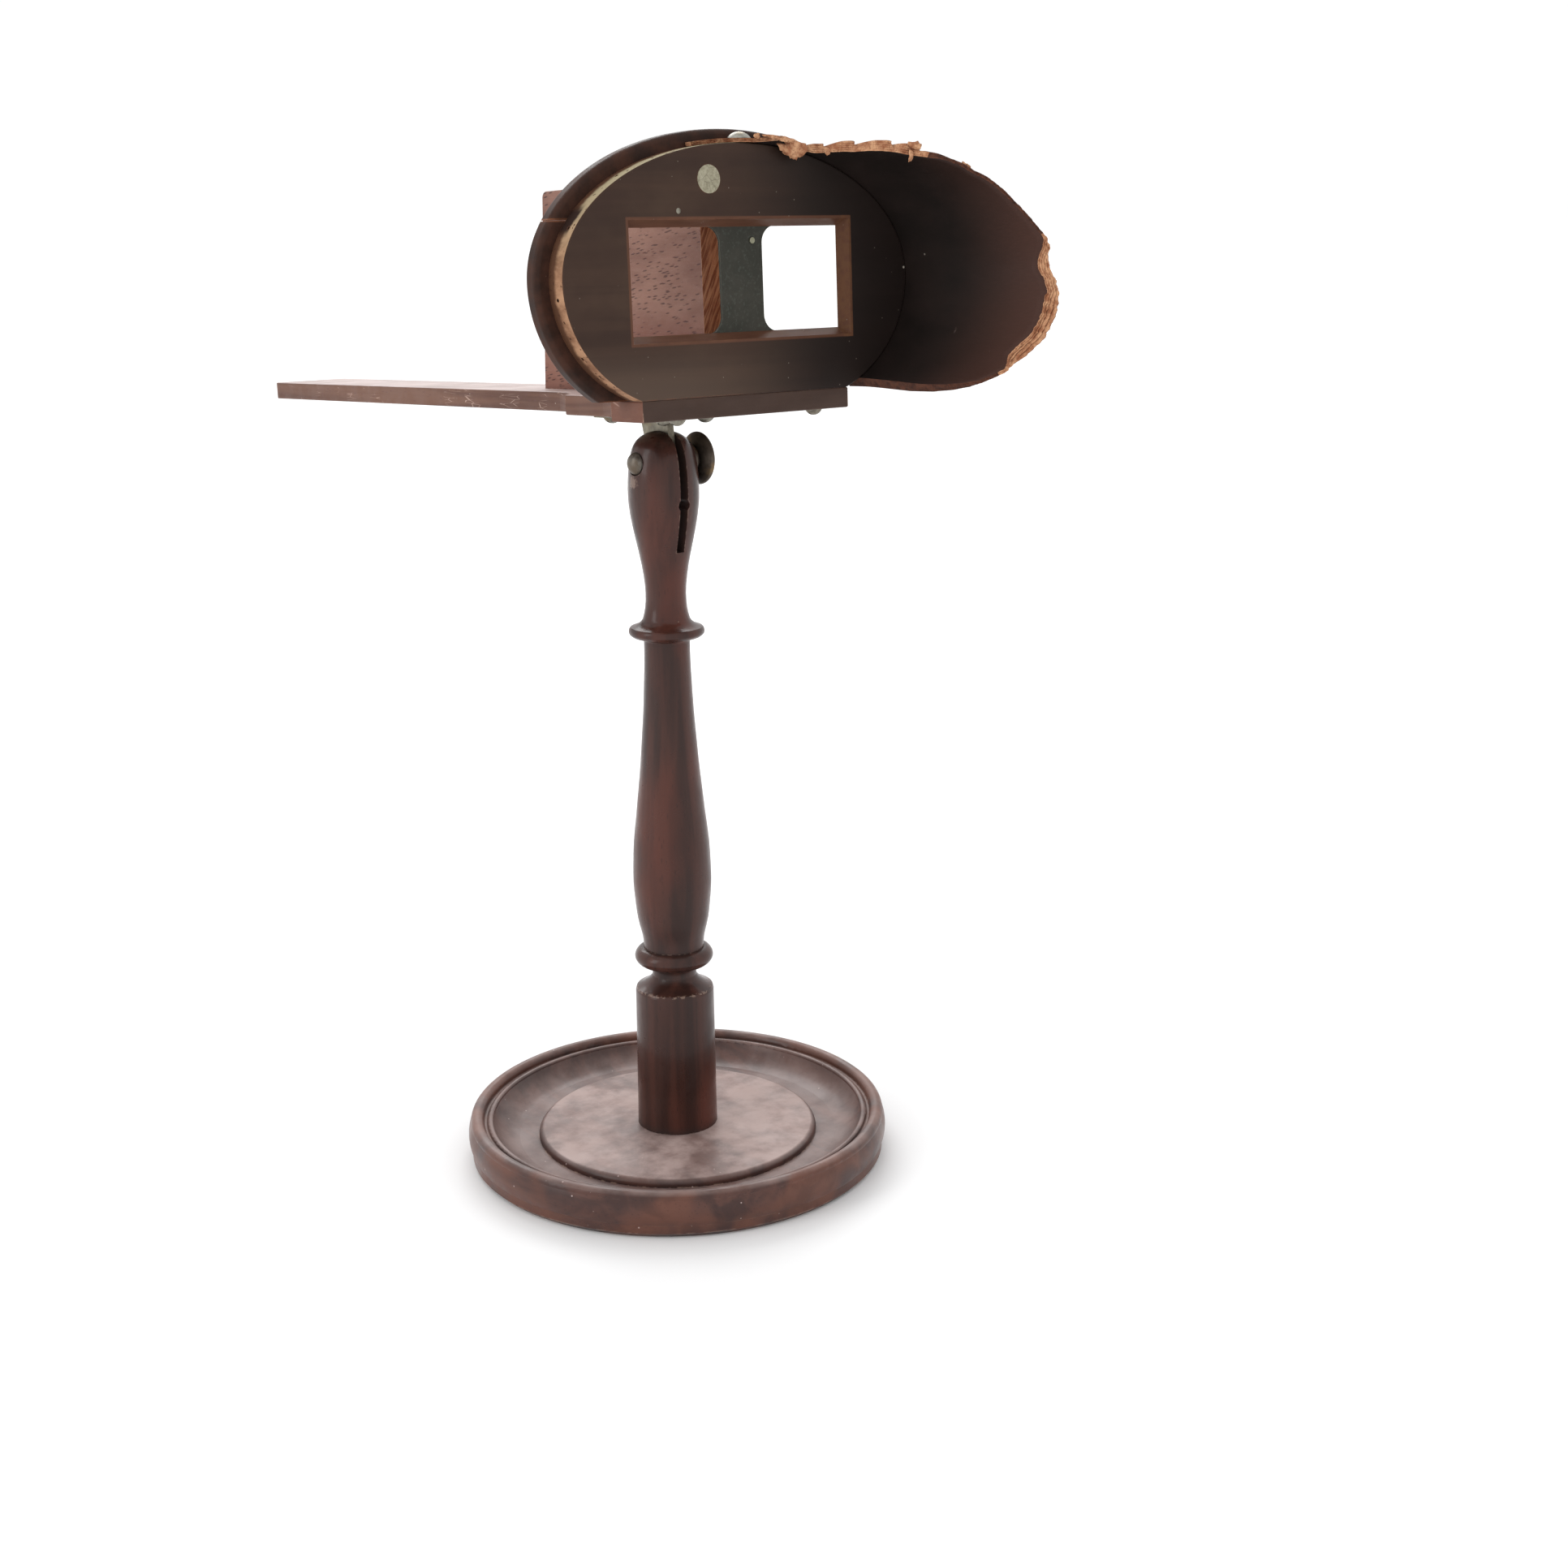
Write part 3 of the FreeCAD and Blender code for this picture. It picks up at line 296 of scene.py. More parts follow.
def polished_mahogany():
    """Turned column: dark french-polished mahogany, painted shade in the coves, rubbed pale in places."""
    graph = Graph("polished_mahogany")
    place = graph.place(head=False)
    figure, fibre, pores = grain(graph, place, "z", 6.0)
    blotch = graph.noise(graph.stretch(place, (1, 1, 0.4)), 0.045, 2.0)
    base = graph.mix(graph.step(figure, 0.35, 0.65), rgb(45, 27, 22), rgb(70, 41, 33))
    base = graph.tint(base, rgb(104, 51, 37), graph.step(blotch, 0.45, 0.74, 0.0, 0.7))
    base = graph.tint(base, rgb(54, 32, 30), fibre, 0.35)
    base = graph.tint(base, rgb(38, 22, 20), pores, 0.35)
    # Painted shade: the coves darkened where ambient light reaches less.
    cove_shade = painted_shade_in(graph, 5.0, 0.12, 0.6)
    base = graph.tint(base, rgb(44, 36, 34), cove_shade, 0.75)
    base = graph.tint(base, rgb(150, 126, 112), column_wear(graph, place), 0.45)
    base = graph.tint(base, rgb(150, 130, 116), speckle(graph, place, 0.1, 0.035))

    haze = graph.step(graph.noise(place, 0.12, 3.0), 0.3, 0.7, 0.26, 0.4)
    rough = graph.plus(haze, graph.times(cove_shade, 0.3))
    dents = graph.noise(graph.stretch(place, (1, 1, 0.5)), 0.14, 2.0)
    normal = graph.bump(fibre, 0.05, 0.25, graph.bump(dents, 0.6, 0.25))
    return graph.finish(base, rough, normal, Specular_IOR_Level=0.22, Coat_Weight=0.16, Coat_Roughness=0.1)


def base_dust(graph, place, radius):
    """Dust on upward faces, in patches, thicker on the plateau than in the dish."""
    patches = graph.step(graph.noise(place, 0.06, 5.0, 0.6), 0.34, 0.66, 0.3, 1.0)
    upward = graph.times(graph.step(graph.facing()[2], 0.35, 0.98), patches)
    plateau = graph.step(radius, PLATEAU_RADIUS + 0.4, PLATEAU_RADIUS - 0.4)
    return graph.times(upward, graph.plus(0.34, graph.times(plateau, 0.48)))


def dusty_base():
    """Turned base: the same timber worn and dusty on its upward faces, polish left on the mouldings."""
    graph = Graph("dusty_base")
    place = graph.place(head=False)
    figure, fibre, pores = grain(graph, place, "y", 7.0)
    radius = graph.radius(place)
    base = graph.mix(graph.step(figure, 0.35, 0.65), rgb(62, 39, 34), rgb(88, 56, 47))
    base = graph.tint(base, rgb(60, 40, 38), fibre, 0.4)
    base = graph.tint(base, rgb(44, 30, 28), pores, 0.4)
    # Painted shade in the coves of the mouldings.
    base = graph.tint(base, rgb(56, 44, 42), painted_shade_in(graph, 6.0, 0.15, 0.6), 0.6)
    dust = base_dust(graph, place, radius)
    base = graph.tint(base, rgb(182, 160, 154), dust)
    base = graph.tint(base, rgb(170, 150, 145), speckle(graph, place, 0.3, 0.1))
    rim = graph.times(graph.step(radius, RIM_RADIUS - 1.5, RIM_RADIUS + 1.5),
                      graph.step(graph.noise(place, 0.05, 2.0), 0.42, 0.6))
    base = graph.tint(base, rgb(142, 84, 58), rim, 0.2)
    base = graph.tint(base, rgb(190, 158, 140), worn_corners(graph, place, 0.8, 0.3, 0.45, 0.6), 0.6)

    haze = graph.step(graph.noise(place, 0.1, 3.0), 0.3, 0.7, 0.28, 0.45)
    rough = graph.plus(haze, graph.times(dust, 0.35))
    normal = graph.bump(fibre, 0.06, 0.3, graph.bump(graph.noise(place, 0.1, 2.0), 0.6, 0.25))
    return graph.finish(base, rough, normal, Specular_IOR_Level=0.3, Coat_Weight=0.1, Coat_Roughness=0.2)


# ---------------------------------------------------------------- shaft board and partition
def scratch_lines(graph, place):
    """Fine long scratches in scattered patches."""
    lines = graph.cells(graph.stretch(place, (0.35, 0.11, 1.0)), 0.7, feature="DISTANCE_TO_EDGE")
    patches = graph.step(graph.noise(place, 0.09, 2.0), 0.55, 0.62)
    return graph.times(graph.step(lines, 0.018, 0.006), patches)


def crossbar_colours(graph, place, base):
    """Dark stain on the crossbar's front face, redder wood on its ends."""
    y = graph.split(place)[1]
    facing_x, facing_y, _ = graph.facing()
    ragged = graph.times(graph.noise(place, 0.5, 3.0), 0.8)
    front = graph.times(graph.step(facing_y, -0.3, -0.7), graph.step(graph.plus(y, ragged), 2.0, 1.0))
    streaks = graph.noise(graph.stretch(place, (0.2, 1, 1)), 0.25, 4.0)
    base = graph.tint(base, graph.mix(streaks, rgb(52, 37, 31), rgb(74, 55, 46)), front)
    ends = graph.times(graph.step(y, CROSSBAR_BACK + 2, CROSSBAR_BACK - 2),
                       graph.step(graph.math("ABSOLUTE", facing_x), 0.6, 0.9))
    return graph.tint(base, rgb(112, 66, 50), ends, 0.5)


def shaft_timber():
    """Shaft board: faded pinkish mahogany with scratches, and dust on top."""
    graph = Graph("shaft_timber")
    place = graph.place(head=True)
    figure, fibre, pores = grain(graph, place, "y", 5.0)
    base = graph.mix(graph.step(figure, 0.35, 0.65), rgb(86, 58, 47), rgb(116, 83, 67))
    base = graph.tint(base, rgb(84, 54, 48), fibre, 0.4)
    base = graph.tint(base, rgb(92, 60, 56), pores, 0.55)
    scratches = scratch_lines(graph, place)
    base = graph.tint(base, rgb(214, 184, 168), scratches, 0.5)
    # Painted shade in corners where the board meets other parts.
    base = graph.tint(base, rgb(62, 44, 40), painted_shade_in(graph, 5.0, 0.2, 0.7), 0.6)
    patches = graph.step(graph.noise(place, 0.05, 4.0), 0.3, 0.7, 0.5, 0.8)
    dust = graph.times(graph.step(graph.facing()[2], 0.6, 1.0), patches)
    base = graph.tint(base, rgb(206, 188, 184), dust)
    base = crossbar_colours(graph, place, base)
    base = graph.tint(base, rgb(204, 166, 142), worn_corners(graph, place, 0.5, 0.35, 0.42, 0.6), 0.55)
    base = graph.tint(base, rgb(196, 180, 168), speckle(graph, place, 0.2, 0.06))

    rough = graph.step(graph.noise(place, 0.15, 3.0), 0.3, 0.7, 0.38, 0.55)
    height = graph.minus(fibre, graph.times(pores, 0.6))
    normal = graph.bump(height, 0.08, 0.4, graph.bump(scratches, 0.05, -0.4))
    return graph.finish(base, rough, normal, Specular_IOR_Level=0.2)


def pore_dashes(graph, place):
    """Short dark pores, slanting a little, in scattered groups."""
    dashes = graph.cells(graph.stretch(graph.turn(place, "X", 6), (0.8, 0.26, 1.4)), 0.9)
    return graph.times(graph.step(dashes, 0.34, 0.2), graph.step(graph.noise(place, 0.16, 2.0), 0.3, 0.46))


def septum_timber():
    """Partition: pink-brown faces with short dark pores, bare orange end with slanting streaks."""
    graph = Graph("septum_timber")
    place = graph.place(head=True)
    tone = graph.noise(graph.stretch(place, (1, 0.16, 0.5)), 0.12, 4.0)
    base = graph.mix(graph.step(tone, 0.3, 0.7), rgb(106, 74, 64), rgb(144, 108, 94))
    fibre = graph.noise(graph.stretch(place, (1, 0.12, 1)), 1.6, 5.0, 0.7)
    base = graph.tint(base, rgb(98, 60, 56), fibre, 0.35)
    base = graph.tint(base, rgb(124, 70, 56), graph.step(graph.split(place)[2], 34.0, 22.0, 0.0, 0.3))
    dashes = pore_dashes(graph, place)
    base = graph.tint(base, rgb(56, 34, 34), dashes, 0.75)

    streaks = graph.noise(graph.stretch(graph.turn(place, "Y", -24), (1.0, 1, 0.09)), 0.95, 4.0, 0.6)
    bare = graph.mix(graph.step(streaks, 0.42, 0.58), rgb(136, 84, 62), rgb(190, 136, 106))
    base = graph.tint(base, bare, graph.step(graph.facing()[1], -0.5, -0.8))
    # Painted shade in the corners where the partition meets other parts.
    base = graph.tint(base, rgb(70, 46, 42), painted_shade_in(graph, 4.0, 0.25, 0.8), 0.5)
    base = graph.tint(base, rgb(206, 160, 130), worn_corners(graph, place, 0.5, 0.4, 0.4, 0.6), 0.5)
    rough = graph.step(fibre, 0.3, 0.7, 0.5, 0.68)
    height = graph.minus(fibre, graph.times(dashes, 0.8))
    return graph.finish(base, rough, graph.bump(height, 0.1, 0.5), Specular_IOR_Level=0.2)


# ---------------------------------------------------------------- lens board and what it carries
def board_faces(graph, place, haze, fibre, figure):
    """Dull dark stain, hazy at the lower left, with painted shade making it nearly black toward the hood on
    the right.
    """
    x, _, z = graph.split(place)
    base = graph.mix(graph.step(figure, 0.3, 0.7), rgb(54, 38, 31), rgb(63, 45, 36))
    base = graph.tint(base, rgb(88, 70, 57), graph.step(haze, 0.4, 0.72, 0.0, 0.35))
    base = graph.tint(base, rgb(48, 34, 28), fibre, 0.2)
    # Painted shade cast by the hood's wall, deepening toward the right.
    hood_shade = graph.step(graph.plus(x, graph.times(haze, 30.0)), 2.0, 50.0, 0.0, 0.85)
    base = graph.tint(base, rgb(27, 22, 21), hood_shade)
    low_left = graph.times(graph.step(z, 24.0, 8.0), graph.step(x, 30.0, -30.0))
    return graph.tint(base, rgb(116, 98, 84), low_left, 0.3)


def in_window(graph, place):
    """1 on the bevels round the sight opening."""
    x, _, z = graph.split(place)
    return graph.times(graph.near(x, 0.0, SIGHT_HALF + 0.2, SIGHT_HALF - 0.2),
                       graph.near(z, SIGHT_MIDDLE, SIGHT_RISE + 0.2, SIGHT_RISE - 0.2))


def board_bevels(graph, place, base, window):
    """Reddish bevels round the sight opening, the right one scuffed."""
    tone = graph.noise(graph.stretch(place, (0.15, 1, 0.15)), 0.5, 4.0)
    base = graph.tint(base, graph.mix(tone, rgb(72, 46, 36), rgb(104, 70, 52)), window)
    right = graph.step(graph.split(place)[0], BEVEL_RIGHT - 0.35, BEVEL_RIGHT + 0.35)
    scuffs = graph.step(graph.noise(place, 0.5, 4.0), 0.36, 0.6, 0.2, 1.0)
    return graph.tint(base, rgb(98, 66, 46), graph.times(graph.times(window, right), scuffs))


def bare_edge_tone(graph, place):
    """Wood of the board's edge where the hood has come away: tan, stained, darker toward the moulding with
    stain and painted shadow, with a dark split.
    """
    _, y, z = graph.split(place)
    stains = graph.noise(graph.stretch(place, (1, 0.5, 1)), 0.16, 5.0, 0.65)
    depth = graph.plus(y, graph.times(stains, 3.0))
    tan = graph.mix(graph.step(stains, 0.35, 0.7), rgb(172, 132, 102), rgb(120, 84, 62))
    tan = graph.tint(tan, rgb(160, 148, 118), graph.step(z, 40.0, 70.0))
    # Darker toward the moulding: partly dark brown stain, partly painted shadow in the gap beside it.
    tan = graph.tint(tan, rgb(84, 56, 40), graph.step(depth, 4.6, 6.6))
    tan = graph.tint(tan, rgb(70, 44, 32), graph.step(graph.noise(place, 0.55, 3.0), 0.6, 0.68))
    split = graph.times(graph.near(z, EDGE_SPLIT, 5.0, 2.0), graph.step(depth, 3.2, 4.6))
    return graph.tint(tan, rgb(44, 28, 22), split)


def stained_board():
    """Lens board: dull dark stain on its faces with painted shade toward the hood, reddish bevels, and bare
    tan wood on its left edge.
    """
    graph = Graph("stained_board")
    place = graph.place(head=True)
    x = graph.split(place)[0]
    figure, fibre, _ = grain(graph, place, "x", 6.0)
    haze = graph.noise(graph.stretch(place, (0.7, 1, 1)), 0.035, 4.0, 0.6)
    window = in_window(graph, place)
    base = board_faces(graph, place, haze, fibre, figure)
    base = board_bevels(graph, place, base, window)

    rim = graph.step(graph.math("ABSOLUTE", graph.facing()[1]), 0.6, 0.4)
    left = graph.step(graph.plus(x, graph.times(graph.noise(place, 0.2, 2.0), 4.0)), 8.0, 4.0)
    bare = graph.times(graph.times(rim, graph.minus(1.0, window)), left)
    base = graph.tint(base, bare_edge_tone(graph, place), bare)
    lip = graph.times(graph.times(graph.edges(0.6), graph.step(x, 0.0, -6.0)),
                      graph.step(graph.noise(place, 0.3, 3.0), 0.35, 0.6))
    base = graph.tint(base, rgb(128, 84, 62), lip, 0.5)
    base = graph.tint(base, rgb(178, 170, 158), speckle(graph, place, 0.11, 0.05))
    base = graph.tint(base, rgb(150, 140, 128), speckle(graph, place, 0.45, 0.09), 0.5)

    rough = graph.plus(graph.step(haze, 0.3, 0.7, 0.42, 0.58), graph.times(bare, 0.2))
    normal = graph.bump(fibre, 0.05, 0.35, graph.bump(graph.noise(place, 0.09, 3.0), 0.5, 0.2))
    return graph.finish(base, rough, normal, Specular_IOR_Level=0.15)


def moulding_wood():
    """Bent moulding: dark stain, orange-brown where its edge is worn, pale end grain at the butt joints."""
    graph = Graph("moulding_wood")
    place = graph.place(head=True)
    tone = graph.noise(place, 0.12, 5.0, 0.6)
    base = graph.mix(graph.step(tone, 0.3, 0.7), rgb(44, 29, 23), rgb(74, 46, 35))
    fibre = graph.noise(graph.stretch(place, (0.4, 2.0, 0.4)), 0.9, 5.0, 0.7)
    base = graph.tint(base, rgb(38, 28, 26), fibre, 0.4)
    base = graph.tint(base, rgb(142, 88, 58), worn_corners(graph, place, 0.9, 0.25, 0.3, 0.55), 0.75)
    end_grain = graph.times(graph.step(graph.math("ABSOLUTE", graph.facing()[2]), 0.9, 0.98),
                            graph.near(graph.split(place)[2], RING_JOINT, 0.6, 0.3))
    base = graph.tint(base, rgb(190, 150, 120), end_grain)
    base = graph.tint(base, rgb(150, 130, 115), speckle(graph, place, 0.3, 0.08))
    normal = graph.bump(fibre, 0.07, 0.35, graph.bump(tone, 0.4, 0.2))
    return graph.finish(base, graph.step(tone, 0.3, 0.7, 0.42, 0.58), normal, Specular_IOR_Level=0.12)


def bare_strip():
    """Plain unstained softwood strips behind the board."""
    graph = Graph("bare_strip")
    place = graph.place(head=True)
    figure, fibre, _ = grain(graph, place, "x", 3.0)
    base = graph.mix(graph.step(figure, 0.3, 0.7), rgb(142, 112, 84), rgb(176, 144, 110))
    base = graph.tint(base, rgb(112, 84, 62), fibre, 0.4)
    # Painted shade in the corners between the strips and the board.
    base = graph.tint(base, rgb(64, 48, 38), painted_shade_in(graph, 3.0, 0.2, 0.8), 0.6)
    return graph.finish(base, graph.step(fibre, 0.3, 0.7, 0.6, 0.75), graph.bump(fibre, 0.06, 0.4))


def filler():
    """Hard pale filler: mottled, faintly cracked."""
    graph = Graph("filler")
    place = graph.place(head=True)
    tone = graph.noise(place, 0.6, 5.0, 0.7)
    base = graph.mix(graph.step(tone, 0.3, 0.7), rgb(128, 122, 100), rgb(168, 162, 140))
    cracks = graph.step(graph.cells(place, 0.35, feature="DISTANCE_TO_EDGE"), 0.03, 0.01)
    base = graph.tint(base, rgb(96, 88, 70), cracks, 0.4)
    return graph.finish(base, 0.75, graph.bump(graph.minus(tone, cracks), 0.1, 0.6))


def mask_paint():
    """Matte green-black japanned tin, slightly mottled and scratched."""
    graph = Graph("mask_paint")
    place = graph.place(head=True)
    tone = graph.noise(place, 0.1, 5.0, 0.6)
    base = graph.mix(graph.step(tone, 0.3, 0.7), rgb(52, 52, 46), rgb(64, 62, 56))
    fine = graph.noise(place, 1.2, 4.0, 0.6)
    base = graph.tint(base, rgb(86, 92, 84), graph.step(fine, 0.5, 0.75, 0.0, 0.35))
    base = graph.tint(base, rgb(110, 108, 96), graph.edges(0.3), 0.5)
    scratches = graph.noise(graph.stretch(place, (1, 1, 0.2)), 0.4, 3.0)
    base = graph.tint(base, rgb(30, 32, 30), graph.step(scratches, 0.68, 0.74, 0.0, 0.3))
    rough = graph.step(tone, 0.3, 0.7, 0.5, 0.66)
    return graph.finish(base, rough, graph.bump(fine, 0.03, 0.4), Specular_IOR_Level=0.15)


def lens_glass():
    """Clear lens glass with a film of dust; it hardly bends the view."""
    graph = Graph("lens_glass")
    film = graph.noise(graph.place(head=True), 0.12, 5.0, 0.6)
    tint = graph.mix(film, rgb(255, 255, 255), rgb(252, 253, 252))
    return graph.finish(tint, graph.step(film, 0.5, 0.8, 0.0, 0.06), Transmission_Weight=1.0, IOR=1.04)


# ---------------------------------------------------------------- hood finishes
def hood_lining():
    """Inside of the hood: dark stained veneer painted nearly black with the shade inside the hood, lighter
    and a little redder toward the outer end where that painted shade eases.
    """
    graph = Graph("hood_lining")
    place = graph.place(head=True)
    tone = graph.noise(graph.stretch(place, (0.5, 0.5, 1)), 0.06, 5.0, 0.6)
    # Nearly black: dark stain with painted shade of the hood's inside.
    base = graph.mix(graph.step(tone, 0.3, 0.7), rgb(25, 20, 18), rgb(38, 28, 25))
    # Lighter toward the outer end: painted shade easing toward the opening.
    base = graph.tint(base, rgb(84, 55, 46), graph.step(graph.split(place)[1], -18.0, -56.0, 0.0, 0.75))
    fibre = graph.noise(graph.stretch(place, (0.5, 0.5, 3)), 0.7, 5.0, 0.7)
    base = graph.tint(base, rgb(28, 22, 20), fibre, 0.35)
    streaks = graph.noise(graph.stretch(place, (1, 1, 0.5)), 0.13, 4.0, 0.65)
    rubs = graph.times(graph.step(streaks, 0.66, 0.74), graph.step(graph.noise(place, 0.03, 1.0), 0.48, 0.6))
    base = graph.tint(base, rgb(112, 98, 90), rubs, 0.45)
    base = graph.tint(base, rgb(120, 112, 104), speckle(graph, place, 0.14, 0.06))
    normal = graph.bump(fibre, 0.06, 0.35, graph.bump(tone, 0.8, 0.25))
    return graph.finish(base, graph.step(tone, 0.3, 0.7, 0.48, 0.66), normal, Specular_IOR_Level=0.15)


def hood_outside():
    """Outside of the hood: dark varnished veneer, scuffed."""
    graph = Graph("hood_outside")
    place = graph.place(head=True)
    tone = graph.noise(place, 0.07, 5.0, 0.6)
    base = graph.mix(graph.step(tone, 0.3, 0.7), rgb(62, 38, 32), rgb(98, 60, 48))
    fibre = graph.noise(graph.stretch(place, (0.5, 2.5, 0.5)), 0.8, 5.0, 0.7)
    base = graph.tint(base, rgb(44, 28, 25), fibre, 0.45)
    scuffs = graph.step(graph.noise(graph.stretch(place, (0.6, 0.25, 0.6)), 0.5, 4.0, 0.7), 0.66, 0.76)
    base = graph.tint(base, rgb(160, 124, 104), scuffs, 0.4)
    base = graph.tint(base, rgb(166, 146, 130), speckle(graph, place, 0.2, 0.07))
    normal = graph.bump(fibre, 0.06, 0.3, graph.bump(tone, 0.6, 0.2))
    return graph.finish(base, graph.step(tone, 0.3, 0.7, 0.3, 0.46), normal, Specular_IOR_Level=0.35)


def torn_wood(name, dark, light):
    """Broken plies: bare fibres with dark glue lines and shadows."""
    graph = Graph(name)
    place = graph.place(head=True)
    tone = graph.noise(place, 0.35, 5.0, 0.65)
    base = graph.mix(graph.step(tone, 0.35, 0.65), dark, light)
    fibre = graph.noise(graph.stretch(place, (0.5, 3.0, 0.7)), 1.3, 6.0, 0.75)
    base = graph.tint(base, rgb(112, 62, 42), graph.step(fibre, 0.45, 0.7, 0.0, 0.7))
    # Painted shadow between the broken plies.
    base = graph.tint(base, rgb(74, 40, 28), painted_shade_in(graph, 1.6, 0.3, 0.85), 0.8)
    rough = graph.step(fibre, 0.3, 0.7, 0.7, 0.9)
    return graph.finish(base, rough, graph.bump(fibre, 0.25, 0.8), Specular_IOR_Level=0.15)


# ---------------------------------------------------------------- metals
# Name: dark tone, light tone, cloudy tint, whether the pieces are on the head, and the pieces.
METALS = {
    "bracket_metal": (rgb(106, 100, 88), rgb(152, 146, 130), rgb(128, 116, 92), True, ["tilt_bracket"]),
    "screw_metal": (rgb(92, 88, 80), rgb(150, 146, 134), rgb(112, 98, 78), True,
                    ["bracket_screws", "septum_screws", "lens_board_screws", "hood_nails", "board_brad"]),
    "bolt_metal": (rgb(84, 78, 72), rgb(128, 122, 114), rgb(98, 86, 74), False, ["clamp_bolt"]),
    "knob_metal": (rgb(78, 69, 62), rgb(98, 88, 79), rgb(120, 100, 72), False,
                   ["clamp_washer", "clamp_knob"]),
    "foot_screw_metal": (rgb(92, 88, 80), rgb(140, 134, 120), rgb(112, 98, 78), False, ["column_screw"]),
    "tack_metal": (rgb(126, 124, 116), rgb(178, 176, 168), rgb(150, 140, 120), True, ["top_tack"]),
    "pin_metal": (rgb(120, 118, 98), rgb(160, 158, 136), rgb(140, 128, 92), True, ["mask_pin"]),
}


def old_metal(name, dark, light, cloud, head):
    """Tarnished metal: cloudy tone, pitting and painted shade round the edges of the piece."""
    graph = Graph(name)
    place = graph.place(head)
    tone = graph.noise(place, 0.35, 5.0, 0.65)
    base = graph.mix(graph.step(tone, 0.32, 0.68), dark, light)
    base = graph.tint(base, cloud, graph.step(graph.noise(place, 0.13, 3.0), 0.48, 0.66))
    pits = graph.step(graph.noise(place, 2.6, 4.0, 0.7), 0.62, 0.72)
    base = graph.tint(base, rgb(52, 46, 40), pits, 0.5)
    # Painted shade where the piece meets the parts around it.
    base = graph.tint(base, rgb(44, 38, 34), painted_shade_in(graph, 3.0, 0.15, 0.8), 0.8)
    height = graph.minus(tone, graph.times(pits, 0.5))
    rough = graph.step(tone, 0.3, 0.7, 0.34, 0.55)
    return graph.finish(base, rough, graph.bump(height, 0.06, 0.5), Metallic=0.85)


# ---------------------------------------------------------------- hood
# Torn edge, point by point: how far round the board's edge (0 left foot, 0.5 top, 1 right foot),
# how far toward the eyes in mm, and how much of the wall is left in mm.
TORN_EDGE = [
    (0.455, -4.0, 1.3), (0.465, -3.0, 1.3), (0.475, -1.0, 1.3), (0.488, -0.4, 1.3), (0.50, 0.6, 1.3),
    (0.513, 1.2, 1.3), (0.525, 3.2, 1.3), (0.536, 5.6, 1.3), (0.547, 3.4, 1.4), (0.558, 1.8, 1.7),
    (0.570, 2.4, 2.2), (0.584, 4.2, 2.8), (0.596, 8.8, 3.1), (0.608, 13.0, 3.2), (0.615, 17.2, 3.2),
    (0.622, 20.5, 3.2), (0.630, 23.4, 3.2), (0.638, 25.5, 3.0), (0.650, 29.6, 1.9), (0.662, 34.0, 1.1),
    (0.675, 36.8, 1.0), (0.688, 38.6, 0.9), (0.698, 41.0, 0.9), (0.716, 43.6, 0.9), (0.734, 45.8, 0.9),
    (0.748, 48.0, 0.9), (0.762, 50.4, 1.0), (0.776, 52.8, 1.4), (0.786, 54.2, 2.2), (0.798, 52.4, 3.0),
    (0.810, 52.4, 3.2), (0.822, 55.2, 3.2), (0.838, 57.2, 3.2), (0.854, 58.0, 3.2), (0.868, 57.4, 3.2),
    (0.882, 57.0, 3.2), (0.895, 55.0, 3.2), (0.908, 53.4, 3.2), (0.921, 52.4, 2.4), (0.936, 52.4, 1.2),
    (0.948, 50.0, 0.9), (0.958, 47.4, 0.9), (0.966, 42.5, 0.9), (0.973, 36.0, 0.9), (0.977, 27.0, 0.9)]
TURN_STEP = 0.0011

# Stretches of the edge that broke in their own way: (start, length of the rise, end, length of the fall).
SCALLOPED = (0.55, 0.015, 0.64, 0.02)
STEPPED = (0.776, 0.012, 0.84, 0.02)
PEELED = (0.832, 0.025, 0.912, 0.02)
SCALLOP_START, SCALLOP_LENGTH = 0.553, 0.019
WORN_STRETCHES = ((0.65, 0.772), (0.942, 1.0))
RAGGED_START = 0.78

# Wall in mm. It flares outward toward the eyes, less at the bottom, and lifts a little at the top; the
# eases say how far from the board each of these sets in. FEATHER is how far behind the torn edge the
# outermost ply would end if the wall there were worn to nothing.
HOOD_WALL, INNER_PLY, FIT_GAP = 3.2, 1.3, 0.12
FLARE, FLARE_EASE, FLARE_LOSS_BELOW = 0.17, 6.0, 0.62
LIFT, LIFT_EASE_SQUARED = 2.0, 60.0
FEATHER = 8.1
PLIES = 5
LONG_STEPS = 22
LINING, OUTSIDE, TORN, WORN = range(4)


def rim_point(turn):
    """Point and outward normal on the lens board's edge."""
    side = -1 if turn < 0.5 else 1
    part = abs(2 * turn - 1)
    if part < OVAL_SHARE:
        angle = math.pi / 2 * (1 - part / OVAL_SHARE)
        x, z = OVAL_HALF * math.cos(angle), OVAL_RISE * math.sin(angle)
        nx, nz = x / OVAL_HALF ** 2, z / OVAL_RISE ** 2
    else:
        angle = -HAUNCH_END * (part - OVAL_SHARE) / (1 - OVAL_SHARE)
        wide = OVAL_HALF - HAUNCH_INSET
        x, z = HAUNCH_INSET + wide * math.cos(angle), HAUNCH_DROP * math.sin(angle)
        nx, nz = math.cos(angle) / wide, math.sin(angle) / HAUNCH_DROP
    length = math.hypot(nx, nz)
    return side * x, OVAL_MIDDLE + z, side * nx / length, nz / length


def smooth(value):
    """0 to 1 with eased ends, held outside."""
    value = min(1.0, max(0.0, value))
    return value * value * (3 - 2 * value)


def between(a, b, share):
    return a + (b - a) * share


def stretch_of_edge(turn, bounds):
    """1 inside a stretch of the torn edge, easing to 0 at its ends."""
    start, rise, end, fall = bounds
    return smooth((turn - start) / rise) * (1 - smooth((turn - end) / fall))


